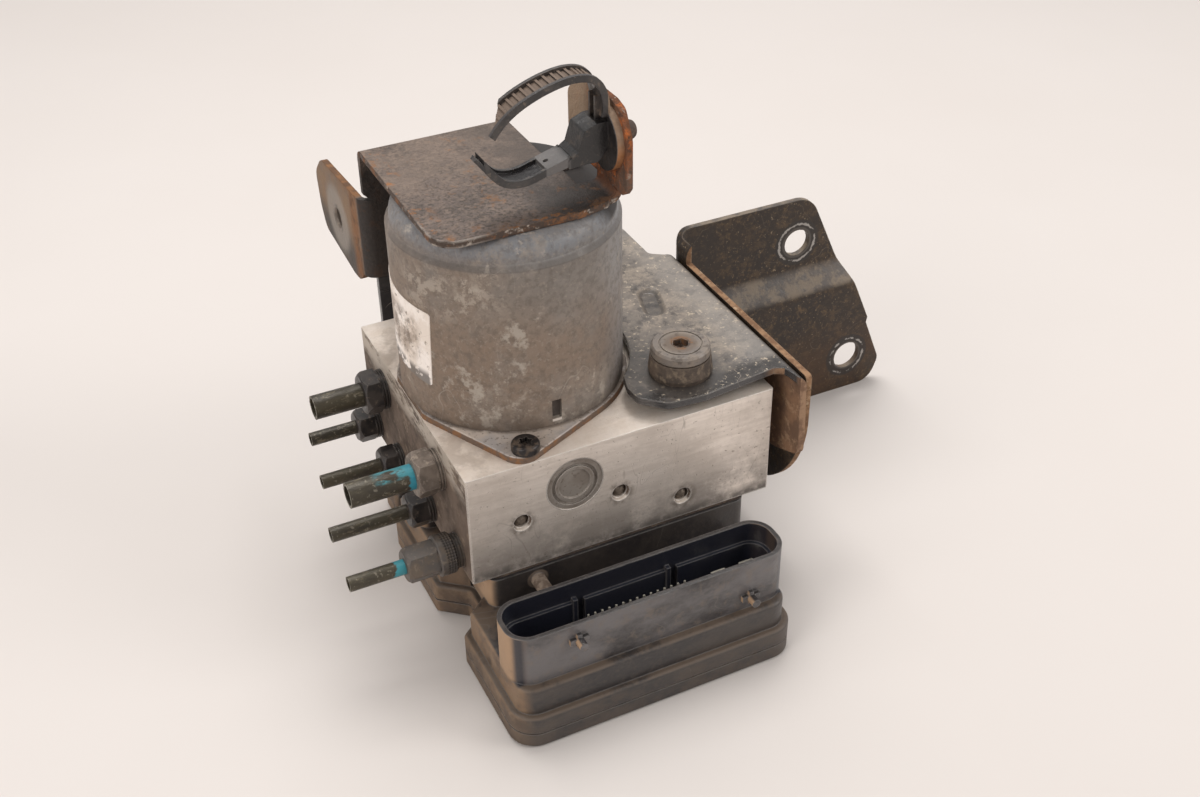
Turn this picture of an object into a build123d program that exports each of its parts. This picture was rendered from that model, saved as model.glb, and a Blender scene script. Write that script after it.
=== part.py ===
from build123d import *
import math
import os

os.makedirs("parts", exist_ok=True)

# Anti-lock brake module: valve block, pump motor, control unit, pipe stubs and brackets.
# Millimetres, +Z up. Origin on the standing plane, under the motor axis.
# The pipe stubs point along -X and the plug socket is at the front, -Y.

# valve block
block_left = -36.9
block_right = 73.1
block_front = -48.9
block_back = 49.7
block_bottom = 35.0
block_top = 76.9

# pump, hung from the top of the block
pump_height = block_top - 13.9
plug_radius = 9.8
plug_depth = 8.0
piston_radius = 4.0
piston_length = 15.0
chamber_radius = 15.5
chamber_floor = pump_height - 9.5
eccentric_throw = 1.2
ring_radius = 12.0

# motor
can_radius = 37.3
can_wall = 1.8
can_length = 67.7
step_drop = 9.5
can_draw = 1.5
flange_rim = 1.3
flange_inset = 0.6
flange_thick = 2.4
shaft_radius = 4.0
screw_spot_x = 14.6
screw_spot_y = 44.5
magnet_thick = 7.1
air_gap = 0.8

# control unit
unit_left = block_left - 4.0
unit_right = block_right - 12.6
unit_front = block_front - 43.2
cover_height = 5.9
band_top = 12.5
ledge_top = 22.5
body_front = block_front - 1.0
body_left = block_left + 5.4
body_right = block_right - 9.0
shroud_left = unit_left + 2.0
shroud_right = unit_right - 1.5
shroud_front = unit_front + 5.6
shroud_depth = 19.2
shroud_back = shroud_front + shroud_depth
shroud_rim = 41.5
shroud_wall = 1.6
shroud_floor = 20.5

# brackets
top_sheet = 2.2
side_sheet = 2.5
wing_sheet = 2.3
bend_radius = 2.0
side_plate_top = block_top + 6.6
side_gap = 6.0
rear_wall_front = block_back + 10.9
tab_left = -34.9
side_front = block_front + 0.3
side_back = 35.2
flange_front = block_front - 6.5
weld_nut_radius = 5.5
clip_middle = -22.4
strap_half = 4.6

# fits
thread_gap = 0.05
running_gap = 0.05
press_gap = 0.02
bolt_gap = 0.4
coat = 0.2

flange_top = block_top + flange_thick
can_top = flange_top + can_length
can_step = can_top - step_drop
core_base = flange_top + 19.7
core_top = can_step - 7.5
flange_radius = can_radius + flange_rim
magnet_inner = can_radius - can_wall - press_gap - magnet_thick
armature_radius = magnet_inner - air_gap
side_flange_out = block_right + side_gap + side_sheet
flange_bend = side_flange_out - side_sheet - bend_radius
top_wall = can_radius + 2.3
shelf_height = can_top - 46.0
tab_hole = (top_wall + 29.5, shelf_height + 9.6)
clip_height = can_top + 21.0
port_high = block_top - 13.3
port_low = block_bottom + 6.4

# (name, y, z, tube radius, hexagon across flats, hexagon start, hexagon end, tube end)
line_ports = [
    ("rear_inlet", 28.6, port_high, 4.25, 14.0, 2.6, 8.4, 25.7),
    ("rear_low_line", 41.2, port_low, 2.45, 11.0, 2.4, 8.8, 25.6),
    ("middle_low_line", 16.4, port_low - 0.4, 2.5, 11.0, 2.4, 8.0, 29.3),
    ("front_inlet", -24.2, port_high + 1.6, 4.25, 14.0, 2.6, 9.0, 30.6),
    ("front_low_line", -12.2, port_low, 2.6, 11.0, 2.4, 8.8, 35.2),
    ("corner_line", -37.6, port_low, 2.55, 11.0, 8.6, 18.8, 37.5),
]

valve_spots = [(x, y) for y in (-24.0, 24.0) for x in (-12.0, 8.0, 28.0, 48.0)]
accumulator_spots = [(22.0, 0.0), (44.0, 0.0)]
ball_spots = [(-18.7, 54.0, 26.0), (16.3, 53.5, 26.0), (39.5, 43.6, 15.0)]
unit_screw_spots = [(block_left + 3.5, 2.0), (block_right - 6.7, -27.0), (block_right - 6.7, 26.4)]
front_mount = (46.1, -33.4)
rear_mount = (43.1, block_bottom + 21.0)
motor_wire_spot = (-26.0, 0.0)
pin_rows = (shroud_front + 8.8, shroud_front + 13.2)
pin_spots = [(-7.7 + 2.5 * column, row) for column in range(15) for row in pin_rows]
blade_spots = [(x, y) for x in (39.4, 49.9) for y in (shroud_front + 7.6, shroud_front + 12.6)]


def port_radius(tube):
    return 6.0 if tube > 3 else 4.7


def save(maker, name):
    maker.part.label = name
    export_step(maker.part, "parts/" + name + ".step")


# aluminium block with pump bore, eccentric chamber, ports, valve bores and drillings
with BuildPart() as valve_block:
    with BuildSketch(Plane.XY.offset(block_bottom)):
        with Locations(((block_left + block_right) / 2, (block_front + block_back) / 2)):
            Rectangle(block_right - block_left, block_back - block_front)
    extrude(amount=block_top - block_bottom)
    chamfer(valve_block.edges().filter_by(Axis.Z), length=0.4)
    with BuildSketch(Plane.XY.offset(block_top)):
        Circle(20.1)
    extrude(amount=-4, mode=Mode.SUBTRACT)
    with BuildSketch(Plane.XY.offset(block_top)):
        Circle(chamber_radius)
    extrude(amount=chamber_floor - block_top, mode=Mode.SUBTRACT)
    with BuildSketch(Plane.XZ.offset(-block_front)):
        with Locations((0, pump_height)):
            Circle(piston_radius + running_gap)
    extrude(amount=block_front - block_back, mode=Mode.SUBTRACT)
    for face_y, way in ((block_front, -1), (block_back, 1)):
        with BuildSketch(Plane.XZ.offset(-face_y)):
            with Locations((0, pump_height)):
                Circle(plug_radius + press_gap)
        extrude(amount=way * plug_depth, mode=Mode.SUBTRACT)
        with BuildSketch(Plane.XZ.offset(-face_y)):
            with Locations((0, pump_height)):
                Circle(6)
        extrude(amount=way * (plug_depth + 6), mode=Mode.SUBTRACT)
    for name, y, z, tube, flats, start, end, reach in line_ports:
        with BuildSketch(Plane.YZ.offset(block_left)):
            with Locations((y, z)):
                Circle(port_radius(tube) + thread_gap)
        extrude(amount=12, mode=Mode.SUBTRACT)
        with BuildSketch(Plane.YZ.offset(block_left)):
            with Locations((y, z)):
                Circle(2)
        extrude(amount=18, mode=Mode.SUBTRACT)
    for x, z, depth in ball_spots:
        with BuildSketch(Plane.XZ.offset(-block_front)):
            with Locations((x, z)):
                Circle(3.2)
        extrude(amount=-1.2, taper=20, mode=Mode.SUBTRACT)
        with BuildSketch(Plane.XZ.offset(-block_front)):
            with Locations((x, z)):
                Circle(2.6)
        extrude(amount=-5.8, mode=Mode.SUBTRACT)
        with BuildSketch(Plane.XZ.offset(-block_front)):
            with Locations((x, z)):
                Circle(1.5)
        extrude(amount=-depth, mode=Mode.SUBTRACT)
    with BuildSketch(Plane.XY.offset(block_bottom)):
        with Locations(*valve_spots):
            Circle(6 + press_gap)
    extrude(amount=14, mode=Mode.SUBTRACT)
    with BuildSketch(Plane.XY.offset(block_bottom)):
        with Locations(*accumulator_spots):
            Circle(8 + running_gap)
    extrude(amount=17, mode=Mode.SUBTRACT)
    with BuildSketch(Plane.XY.offset(block_bottom)):
        with Locations(*unit_screw_spots):
            Circle(2 + thread_gap)
    extrude(amount=11, mode=Mode.SUBTRACT)
    with BuildSketch(Plane.XY.offset(block_bottom)):
        with Locations(motor_wire_spot):
            Circle(4)
    extrude(amount=block_top - block_bottom, mode=Mode.SUBTRACT)
    with BuildSketch(Plane.XY.offset(block_top)):
        with Locations((-screw_spot_x, -screw_spot_y), (screw_spot_x, screw_spot_y)):
            Circle(2.5 + thread_gap)
    extrude(amount=-11, mode=Mode.SUBTRACT)
    with BuildSketch(Plane.XY.offset(block_top)):
        with Locations(front_mount):
            Circle(3 + thread_gap)
    extrude(amount=-13, mode=Mode.SUBTRACT)
    with BuildSketch(Plane.XZ.offset(-block_back)):
        with Locations(rear_mount):
            Circle(3 + thread_gap)
    extrude(amount=12, mode=Mode.SUBTRACT)
save(valve_block, "valve_block")


# round plug with a raised ring and a dished middle, pressed into the front end of the pump bore
def pump_plug(face_y, way):
    with BuildPart(mode=Mode.PRIVATE) as plug:
        with BuildSketch(Plane.XZ.offset(-face_y + way * 0.2)):
            with Locations((0, pump_height)):
                Circle(plug_radius)
        extrude(amount=way * (plug_depth - 0.4))
        with BuildSketch(Plane.XZ.offset(-face_y + way * 0.2)):
            with Locations((0, pump_height)):
                Circle(8.1)
                Circle(6.9, mode=Mode.SUBTRACT)
        extrude(amount=way * 0.8, mode=Mode.SUBTRACT)
        with BuildSketch(Plane.XZ.offset(-face_y + way * 0.2)):
            with Locations((0, pump_height)):
                Circle(5.6)
        extrude(amount=way * 0.5, mode=Mode.SUBTRACT)
    return plug.part


with BuildPart() as pump_plug_front:
    add(pump_plug(block_front, -1))
save(pump_plug_front, "pump_plug_front")

with BuildPart() as pump_plug_rear:
    add(pump_plug(block_back, 1))
save(pump_plug_rear, "pump_plug_rear")

# steel balls driven into the drilled passages
with BuildPart() as ball_seals:
    for x, z, depth in ball_spots:
        with Locations((x, block_front + 3.2, z)):
            Sphere(2.55)
save(ball_seals, "ball_seals")


# pump pistons, sliding outwards from the eccentric ring
def piston(way):
    start = ring_radius + eccentric_throw + 0.1
    with BuildPart(mode=Mode.PRIVATE) as body:
        with BuildSketch(Plane.XZ.offset(-way * start)):
            with Locations((0, pump_height)):
                Circle(piston_radius)
        extrude(amount=-way * piston_length)
        with BuildSketch(Plane.XZ.offset(-way * (start + piston_length))):
            with Locations((0, pump_height)):
                Circle(2.2)
        extrude(amount=way * 7, mode=Mode.SUBTRACT)
    return body.part


with BuildPart() as front_piston:
    add(piston(-1))
save(front_piston, "front_piston")

with BuildPart() as rear_piston:
    add(piston(1))
save(rear_piston, "rear_piston")

# drawn motor can with a shallow step, round shoulder and bearing pocket
with BuildPart() as motor_can:
    with BuildSketch(Plane.XZ):
        with BuildLine():
            Line((can_radius, flange_top), (can_radius, can_step))
            Line((can_radius, can_step), (can_radius - can_draw, can_step + 1.8))
            Line((can_radius - can_draw, can_step + 1.8), (can_radius - can_draw, can_top - 6.5))
            RadiusArc((can_radius - can_draw, can_top - 6.5), (can_radius - can_draw - 6.5, can_top), -6.5)
            Line((can_radius - can_draw - 6.5, can_top), (0, can_top))
            Line((0, can_top), (0, can_top - can_wall))
            Line((0, can_top - can_wall), (8.1, can_top - can_wall))
            Line((8.1, can_top - can_wall), (8.1, can_top - 8))
            Line((8.1, can_top - 8), (10, can_top - 8))
            Line((10, can_top - 8), (10, can_top - can_wall))
            Line((10, can_top - can_wall), (can_radius - can_draw - 6.5, can_top - can_wall))
            RadiusArc(
                (can_radius - can_draw - 6.5, can_top - can_wall),
                (can_radius - can_draw - can_wall, can_top - 6.5),
                6.5 - can_wall,
            )
            Line(
                (can_radius - can_draw - can_wall, can_top - 6.5),
                (can_radius - can_draw - can_wall, can_step + 1),
            )
            Line((can_radius - can_draw - can_wall, can_step + 1), (can_radius - can_wall, can_step - 1.4))
            Line((can_radius - can_wall, can_step - 1.4), (can_radius - can_wall, flange_top))
            Line((can_radius - can_wall, flange_top), (can_radius, flange_top))
        make_face()
    revolve(axis=Axis.Z)
    with BuildSketch(Plane.XZ.offset(can_radius - 1.1)):
        with Locations((-0.3, flange_top + 6)):
            Rectangle(3.2, 7)
    extrude(amount=3, mode=Mode.SUBTRACT)
save(motor_can, "motor_can")

# two-lug mounting flange under the can, with a spigot in the block
with BuildPart() as motor_flange:
    with BuildSketch(Plane.XY.offset(block_top)):
        Circle(flange_radius)
        with Locations((-screw_spot_x - 0.6, 2.5 - screw_spot_y), (screw_spot_x + 0.6, screw_spot_y - 2.5)):
            Circle(6.7)
        make_hull()
        Rectangle(2 * (can_radius - flange_inset), 4 * can_radius, mode=Mode.INTERSECT)
    extrude(amount=flange_thick)
    with BuildSketch(Plane.XY.offset(block_top)):
        Circle(20)
    extrude(amount=-3.6)
    fillet(motor_flange.edges().filter_by(Plane.XY).group_by(Axis.Z)[-1], radius=0.6)
    with BuildSketch(Plane.XY.offset(flange_top)):
        Circle(11 + press_gap)
    extrude(amount=-12, mode=Mode.SUBTRACT)
    with BuildSketch(Plane.XY.offset(flange_top)):
        with Locations((-screw_spot_x, -screw_spot_y), (screw_spot_x, screw_spot_y)):
            Circle(2.9)
        with Locations(motor_wire_spot):
            Circle(4)
    extrude(amount=-flange_thick, mode=Mode.SUBTRACT)
save(motor_flange, "motor_flange")

# blank paper label, slightly skewed round the left side of the can
with BuildPart() as motor_label:
    with BuildSketch(Plane.XY.offset(85)):
        Circle(can_radius + 0.22)
        Circle(can_radius + press_gap, mode=Mode.SUBTRACT)
    extrude(amount=45)
    with BuildSketch(Plane.YZ.offset(-60)):
        with Locations(Location((4.3, 106.3), 3)):
            RectangleRounded(42.3, 27.2, 1)
    extrude(amount=60, mode=Mode.INTERSECT)
save(motor_label, "motor_label")

# pan-head star-drive screws through the flange lugs
with BuildPart() as motor_screws:
    for x, y in ((-screw_spot_x, -screw_spot_y), (screw_spot_x, screw_spot_y)):
        with BuildSketch(Plane.XY.offset(flange_top)):
            with Locations((x, y)):
                Circle(4.6)
        extrude(amount=3)
        with BuildSketch(Plane.XY.offset(flange_top)):
            with Locations((x, y)):
                Circle(2.5)
        extrude(amount=-12)
    fillet(motor_screws.edges().filter_by(GeomType.CIRCLE).group_by(Axis.Z)[-1], radius=1.1)
    for x, y in ((-screw_spot_x, -screw_spot_y), (screw_spot_x, screw_spot_y)):
        with BuildSketch(Plane.XY.offset(flange_top + 3)):
            with Locations((x, y)):
                Circle(1.7)
                with PolarLocations(1.8, 6):
                    Circle(0.5)
        extrude(amount=-1.8, mode=Mode.SUBTRACT)
save(motor_screws, "motor_screws")

# two arc magnets on the inside of the can
with BuildPart() as magnets:
    with BuildSketch(Plane.XY.offset(core_base - 2)):
        Circle(can_radius - can_wall - press_gap)
        Circle(magnet_inner, mode=Mode.SUBTRACT)
        Rectangle(3 * can_radius, 0.55 * can_radius, mode=Mode.SUBTRACT)
    extrude(amount=core_top + 4 - core_base)
save(magnets, "magnets")

# brush plate standing on the flange
with BuildPart() as brush_holder:
    with BuildSketch(Plane.XY.offset(flange_top)):
        Circle(can_radius - can_wall - 1.5)
        Circle(13, mode=Mode.SUBTRACT)
    extrude(amount=3)
    with BuildSketch(Plane.XY.offset(flange_top + 3)):
        with PolarLocations(19.5, 2):
            Rectangle(13, 9)
    extrude(amount=9)
    with BuildSketch(Plane.XY.offset(flange_top + 5)):
        with PolarLocations(19.5, 2):
            Rectangle(20, 5.1)
    extrude(amount=5.1, mode=Mode.SUBTRACT)
    with BuildSketch(Plane.XY.offset(flange_top)):
        with Locations(motor_wire_spot):
            Circle(4)
    extrude(amount=4.4, mode=Mode.SUBTRACT)
save(brush_holder, "brush_holder")

# carbon brushes beside the commutator
with BuildPart() as carbon_brushes:
    with BuildSketch(Plane.XY.offset(flange_top + 5.05)):
        with PolarLocations(16.6, 2):
            Rectangle(13, 5)
        Circle(10 + running_gap, mode=Mode.SUBTRACT)
    extrude(amount=5)
save(carbon_brushes, "carbon_brushes")

# plain bearings of the motor shaft
with BuildPart() as top_bearing:
    with BuildSketch(Plane.XY.offset(can_top - 8)):
        Circle(8.1 - press_gap)
        Circle(shaft_radius + running_gap, mode=Mode.SUBTRACT)
    extrude(amount=5)
save(top_bearing, "top_bearing")

with BuildPart() as lower_bearing:
    with BuildSketch(Plane.XY.offset(block_top - 3.6)):
        Circle(11)
        Circle(shaft_radius + running_gap, mode=Mode.SUBTRACT)
    extrude(amount=3.4 + flange_thick)
    with BuildSketch(Plane.XY.offset(flange_top - 0.2)):
        Circle(9)
        Circle(6.2, mode=Mode.SUBTRACT)
    extrude(amount=-0.6, mode=Mode.SUBTRACT)
save(lower_bearing, "lower_bearing")

# shaft with the pump eccentric turned at its lower end
with BuildPart() as motor_shaft:
    with BuildSketch(Plane.XY.offset(chamber_floor + 1)):
        Circle(shaft_radius)
    extrude(amount=can_top - 4 - chamber_floor)
    with BuildSketch(Plane.XY.offset(pump_height - 5)):
        with Locations((0, eccentric_throw)):
            Circle(7.5)
    extrude(amount=10)
save(motor_shaft, "motor_shaft")

# roller ring round the eccentric
with BuildPart() as eccentric_ring:
    with BuildSketch(Plane.XY.offset(pump_height - 4.5)):
        with Locations((0, eccentric_throw)):
            Circle(ring_radius)
            Circle(7.5 + press_gap, mode=Mode.SUBTRACT)
    extrude(amount=9)
save(eccentric_ring, "eccentric_ring")

# slotted armature core
with BuildPart() as armature_core:
    with BuildSketch(Plane.XY.offset(core_base)):
        Circle(armature_radius)
        Circle(shaft_radius + press_gap, mode=Mode.SUBTRACT)
        with PolarLocations(armature_radius - 6.6, 12):
            SlotOverall(12, 4.4, mode=Mode.SUBTRACT)
        with PolarLocations(armature_radius - 1.1, 12):
            Rectangle(5, 1.8, mode=Mode.SUBTRACT)
    extrude(amount=core_top - core_base)
save(armature_core, "armature_core")

# copper windings at both ends of the core
with BuildPart() as armature_windings:
    for base in (core_base - 3.8, core_top + 0.05):
        with BuildSketch(Plane.XY.offset(base)):
            Circle(armature_radius - 2.6)
            Circle(12.5, mode=Mode.SUBTRACT)
            with PolarLocations(armature_radius - 1.6, 12):
                Circle(1.4, mode=Mode.SUBTRACT)
        extrude(amount=3.75)
save(armature_windings, "armature_windings")

# commutator on the shaft
with BuildPart() as commutator:
    with BuildSketch(Plane.XY.offset(flange_top + 3.4)):
        Circle(10)
        Circle(shaft_radius + press_gap, mode=Mode.SUBTRACT)
        with PolarLocations(10, 12):
            Rectangle(3, 0.6, mode=Mode.SUBTRACT)
    extrude(amount=15.7)
save(commutator, "commutator")

# insulated motor lead running down through the block to the circuit board
with BuildPart() as motor_connector:
    with BuildSketch(Plane.XY.offset(9.6)):
        with Locations(motor_wire_spot):
            Circle(3.5)
    extrude(amount=flange_top + 2.5 - 9.6)
save(motor_connector, "motor_connector")

# closed solenoid valve cartridges pressed into the underside of the block
with BuildPart() as valve_cartridges:
    with BuildSketch(Plane.XY.offset(block_bottom)):
        with Locations(*valve_spots):
            Circle(6)
    extrude(amount=13)
    with BuildSketch(Plane.XY.offset(block_bottom)):
        with Locations(*valve_spots):
            Circle(3.3)
    extrude(amount=-19)
save(valve_cartridges, "valve_cartridges")


# low-pressure accumulator pistons and their caps
def store_piston(spot):
    with BuildPart(mode=Mode.PRIVATE) as cup:
        with BuildSketch(Plane.XY.offset(block_bottom + 9.5)):
            with Locations(spot):
                Circle(8)
        extrude(amount=7)
        with BuildSketch(Plane.XY.offset(block_bottom + 9.5)):
            with Locations(spot):
                Circle(6)
        extrude(amount=5, mode=Mode.SUBTRACT)
    return cup.part


with BuildPart() as left_store_piston:
    add(store_piston(accumulator_spots[0]))
save(left_store_piston, "left_store_piston")

with BuildPart() as right_store_piston:
    add(store_piston(accumulator_spots[1]))
save(right_store_piston, "right_store_piston")

with BuildPart() as store_caps:
    with BuildSketch(Plane.XY.offset(block_bottom)):
        with Locations(*accumulator_spots):
            Circle(8)
    extrude(amount=3)
    with BuildSketch(Plane.XY.offset(block_bottom)):
        with Locations(*accumulator_spots):
            Circle(8.9)
    extrude(amount=-1.2)
    with BuildSketch(Plane.XY.offset(block_bottom + 3)):
        with Locations(*accumulator_spots):
            Circle(6)
    extrude(amount=-2, mode=Mode.SUBTRACT)
save(store_caps, "store_caps")


# plan outline of the control unit, with two notches in its left side
def unit_outline(inset):
    with BuildSketch(mode=Mode.PRIVATE) as outline:
        with BuildLine():
            Polyline(
                (unit_left, unit_front),
                (unit_right, unit_front),
                (unit_right, block_back),
                (-36.6, block_back),
                (-36.6, 31.4),
                (-31.4, 31.4),
                (-31.4, 21.4),
                (unit_left, 21.4),
                (unit_left, -20.3),
                (-31.4, -28.2),
                (-31.4, -38.8),
                (unit_left, -46.6),
                close=True,
            )
        make_face()
        fillet(outline.vertices().group_by(Axis.Y)[0], radius=9)
        fillet(outline.vertices().group_by(Axis.Y)[-1], radius=7)
        notch = [v for v in outline.vertices() if -47 < v.Y < 34 and v.X < 0]
        fillet(notch, radius=2.2)
        if inset:
            offset(amount=-inset)
    return outline.sketch


# control unit housing: band, ledge, upper body under the block and plug shroud
with BuildPart() as ecu_housing:
    with BuildSketch(Plane.XY.offset(cover_height)):
        add(unit_outline(0.7))
    extrude(amount=0.6)
    with BuildSketch(Plane.XY.offset(cover_height + 0.5)):
        add(unit_outline(0))
    extrude(amount=band_top - cover_height - 0.5)
    fillet(ecu_housing.edges().filter_by(Plane.XY).group_by(Axis.Z)[-1], radius=1.2)
    with BuildSketch(Plane.XY.offset(band_top)):
        add(unit_outline(2.4))
    extrude(amount=ledge_top - band_top)
    fillet(ecu_housing.edges().filter_by(Plane.XY).group_by(Axis.Z)[-1], radius=1.4)
    with BuildSketch(Plane.XY.offset(ledge_top - 3)):
        with Locations(((body_left + body_right) / 2, (body_front + 46.5) / 2)):
            RectangleRounded(body_right - body_left, 46.5 - body_front, 4)
        with Locations(*unit_screw_spots):
            Circle(4.5)
    extrude(amount=block_bottom - 1 - ledge_top + 3)
    with BuildSketch(Plane.XY.offset(band_top)):
        with Locations(*unit_screw_spots):
            Circle(4.5)
    extrude(amount=10)
    with BuildSketch(Plane.XY.offset(ledge_top - 4)):
        with Locations(((shroud_left + shroud_right) / 2, (shroud_front + shroud_back) / 2)):
            RectangleRounded(shroud_right - shroud_left, shroud_back - shroud_front, 8)
    extrude(amount=shroud_rim - ledge_top + 4)
    for base, inset in ((shroud_floor + 13.5, shroud_wall), (shroud_floor, shroud_wall + 1.3)):
        with BuildSketch(Plane.XY.offset(base)):
            with Locations(((shroud_left + shroud_right) / 2, (shroud_front + shroud_back) / 2)):
                RectangleRounded(
                    shroud_right - shroud_left - 2 * inset,
                    shroud_back - shroud_front - 2 * inset,
                    8 - inset,
                )
        extrude(amount=shroud_rim - base, mode=Mode.SUBTRACT)
    with BuildSketch(Plane.XY.offset(shroud_floor)):
        for x in (-8.7, 24.8):
            with Locations((x, shroud_back - shroud_wall - 0.65)):
                Rectangle(2.6, 1.3)
    extrude(amount=14, mode=Mode.SUBTRACT)
    with BuildSketch(Plane.XY.offset(shroud_floor)):
        for x in (-10.8, 22.7):
            with Locations((x, shroud_back - shroud_wall - 0.6)):
                Rectangle(1.6, 2.4)
    extrude(amount=14.8)
    with BuildSketch(Plane.XY.offset(cover_height)):
        add(unit_outline(3))
    extrude(amount=7, mode=Mode.SUBTRACT)
    with BuildSketch(Plane.XY.offset(cover_height)):
        add(unit_outline(5.5))
    extrude(amount=shroud_floor - 2.5 - cover_height, mode=Mode.SUBTRACT)
    with BuildSketch(Plane.XY.offset(cover_height + 7)):
        with Locations((13.5, 0)):
            Rectangle(87, 86)
    extrude(amount=30, mode=Mode.SUBTRACT)
    with BuildSketch(Plane.XY.offset(band_top)):
        with Locations(*unit_screw_spots):
            Circle(2 + bolt_gap)
    extrude(amount=30, mode=Mode.SUBTRACT)
    with BuildSketch():
        with Locations(*unit_screw_spots):
            Circle(4.4)
    extrude(amount=band_top, mode=Mode.SUBTRACT)
    with BuildSketch(Plane.XY.offset(shroud_floor - 4)):
        for spot in pin_spots:
            with Locations(spot):
                Rectangle(0.64 + 2 * press_gap, 0.64 + 2 * press_gap)
        for spot in blade_spots:
            with Locations(spot):
                Rectangle(5.2 + 2 * press_gap, 0.8 + 2 * press_gap)
    extrude(amount=5, mode=Mode.SUBTRACT)
    with BuildSketch(Plane.XZ.offset(-body_front)):
        with Locations((-14.8, 29.3)):
            Circle(2.5)
    extrude(amount=9)
    for x, z in ((-17.4, 35.6), (44.0, 27.6)):
        with BuildSketch(Plane.XZ.offset(-shroud_front)):
            with Locations((x, z)):
                Rectangle(6.4, 2.2)
                Rectangle(1.6, 5)
        extrude(amount=1.4)
        with BuildSketch(Plane.XZ.offset(-shroud_front)):
            with Locations((x, z)):
                Circle(1.5)
        extrude(amount=4.6)
save(ecu_housing, "ecu_housing")

# lower lid of the control unit
with BuildPart() as ecu_cover:
    with BuildSketch():
        add(unit_outline(0))
    extrude(amount=cover_height)
    chamfer(ecu_cover.edges().filter_by(Plane.XY).group_by(Axis.Z)[0], length=0.9)
    with BuildSketch(Plane.XY.offset(2.4)):
        add(unit_outline(3))
    extrude(amount=10, mode=Mode.SUBTRACT)
    with BuildSketch():
        with Locations(*unit_screw_spots):
            Circle(4.4)
    extrude(amount=10, mode=Mode.SUBTRACT)
save(ecu_cover, "ecu_cover")

# flat seal between housing and block
with BuildPart() as ecu_seal:
    with BuildSketch(Plane.XY.offset(block_bottom - 1)):
        with Locations(((body_left + body_right) / 2, (body_front + 46.5) / 2)):
            RectangleRounded(body_right - body_left - 1.2, 46.5 - body_front - 2.4, 3.4)
        with Locations((13.5, 0)):
            Rectangle(87.6, 87, mode=Mode.SUBTRACT)
        with Locations(*unit_screw_spots):
            Circle(2.6, mode=Mode.SUBTRACT)
    extrude(amount=1)
save(ecu_seal, "ecu_seal")

# circuit board
with BuildPart() as circuit_board:
    with BuildSketch(Plane.XY.offset(cover_height + 2.1)):
        with Locations((13.4, -21)):
            RectangleRounded(80, 124, 2)
    extrude(amount=1.6)
save(circuit_board, "circuit_board")

# main parts on the upper side of the board
with BuildPart() as board_parts:
    with BuildSketch(Plane.XY.offset(cover_height + 3.7)):
        with Locations((8, -52)):
            Rectangle(20, 20)
        with Locations((34, -52)):
            Rectangle(12, 9)
        with Locations((-16, -52)):
            Rectangle(10, 14)
    extrude(amount=1.8)
    with BuildSketch(Plane.XY.offset(cover_height + 3.7)):
        with Locations((46, -60), (46, -48)):
            Circle(4)
    extrude(amount=6)
save(board_parts, "board_parts")

# two rows of contact pins and four wide blades in the socket
with BuildPart() as connector_pins:
    with BuildSketch(Plane.XY.offset(cover_height + 3.7)):
        for spot in pin_spots:
            with Locations(spot):
                Rectangle(0.64, 0.64)
        for spot in blade_spots:
            with Locations(spot):
                Rectangle(5.2, 0.8)
    extrude(amount=20.4)
save(connector_pins, "connector_pins")

# solenoid coils round the valve stems
with BuildPart() as solenoid_coils:
    with BuildSketch(Plane.XY.offset(block_bottom - 18.5)):
        with Locations(*valve_spots):
            Circle(8)
            Circle(3.7, mode=Mode.SUBTRACT)
    extrude(amount=16.5)
    with BuildSketch(Plane.XY.offset(cover_height + 3.7)):
        for x, y in valve_spots:
            with Locations((x - 5.5, y), (x + 5.5, y)):
                Rectangle(0.9, 0.9)
    extrude(amount=block_bottom - 18.5 - cover_height - 3.7)
save(solenoid_coils, "solenoid_coils")

# long screws holding the control unit to the block
with BuildPart() as ecu_screws:
    with BuildSketch(Plane.XY.offset(band_top)):
        with Locations(*unit_screw_spots):
            Circle(2)
    extrude(amount=block_bottom + 10 - band_top)
    with BuildSketch(Plane.XY.offset(band_top)):
        with Locations(*unit_screw_spots):
            Circle(3.6)
    extrude(amount=-2.8)
    with BuildSketch(Plane.XY.offset(band_top - 2.8)):
        with Locations(*unit_screw_spots):
            RegularPolygon(1.9, 6)
    extrude(amount=1.6, mode=Mode.SUBTRACT)
save(ecu_screws, "ecu_screws")


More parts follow.
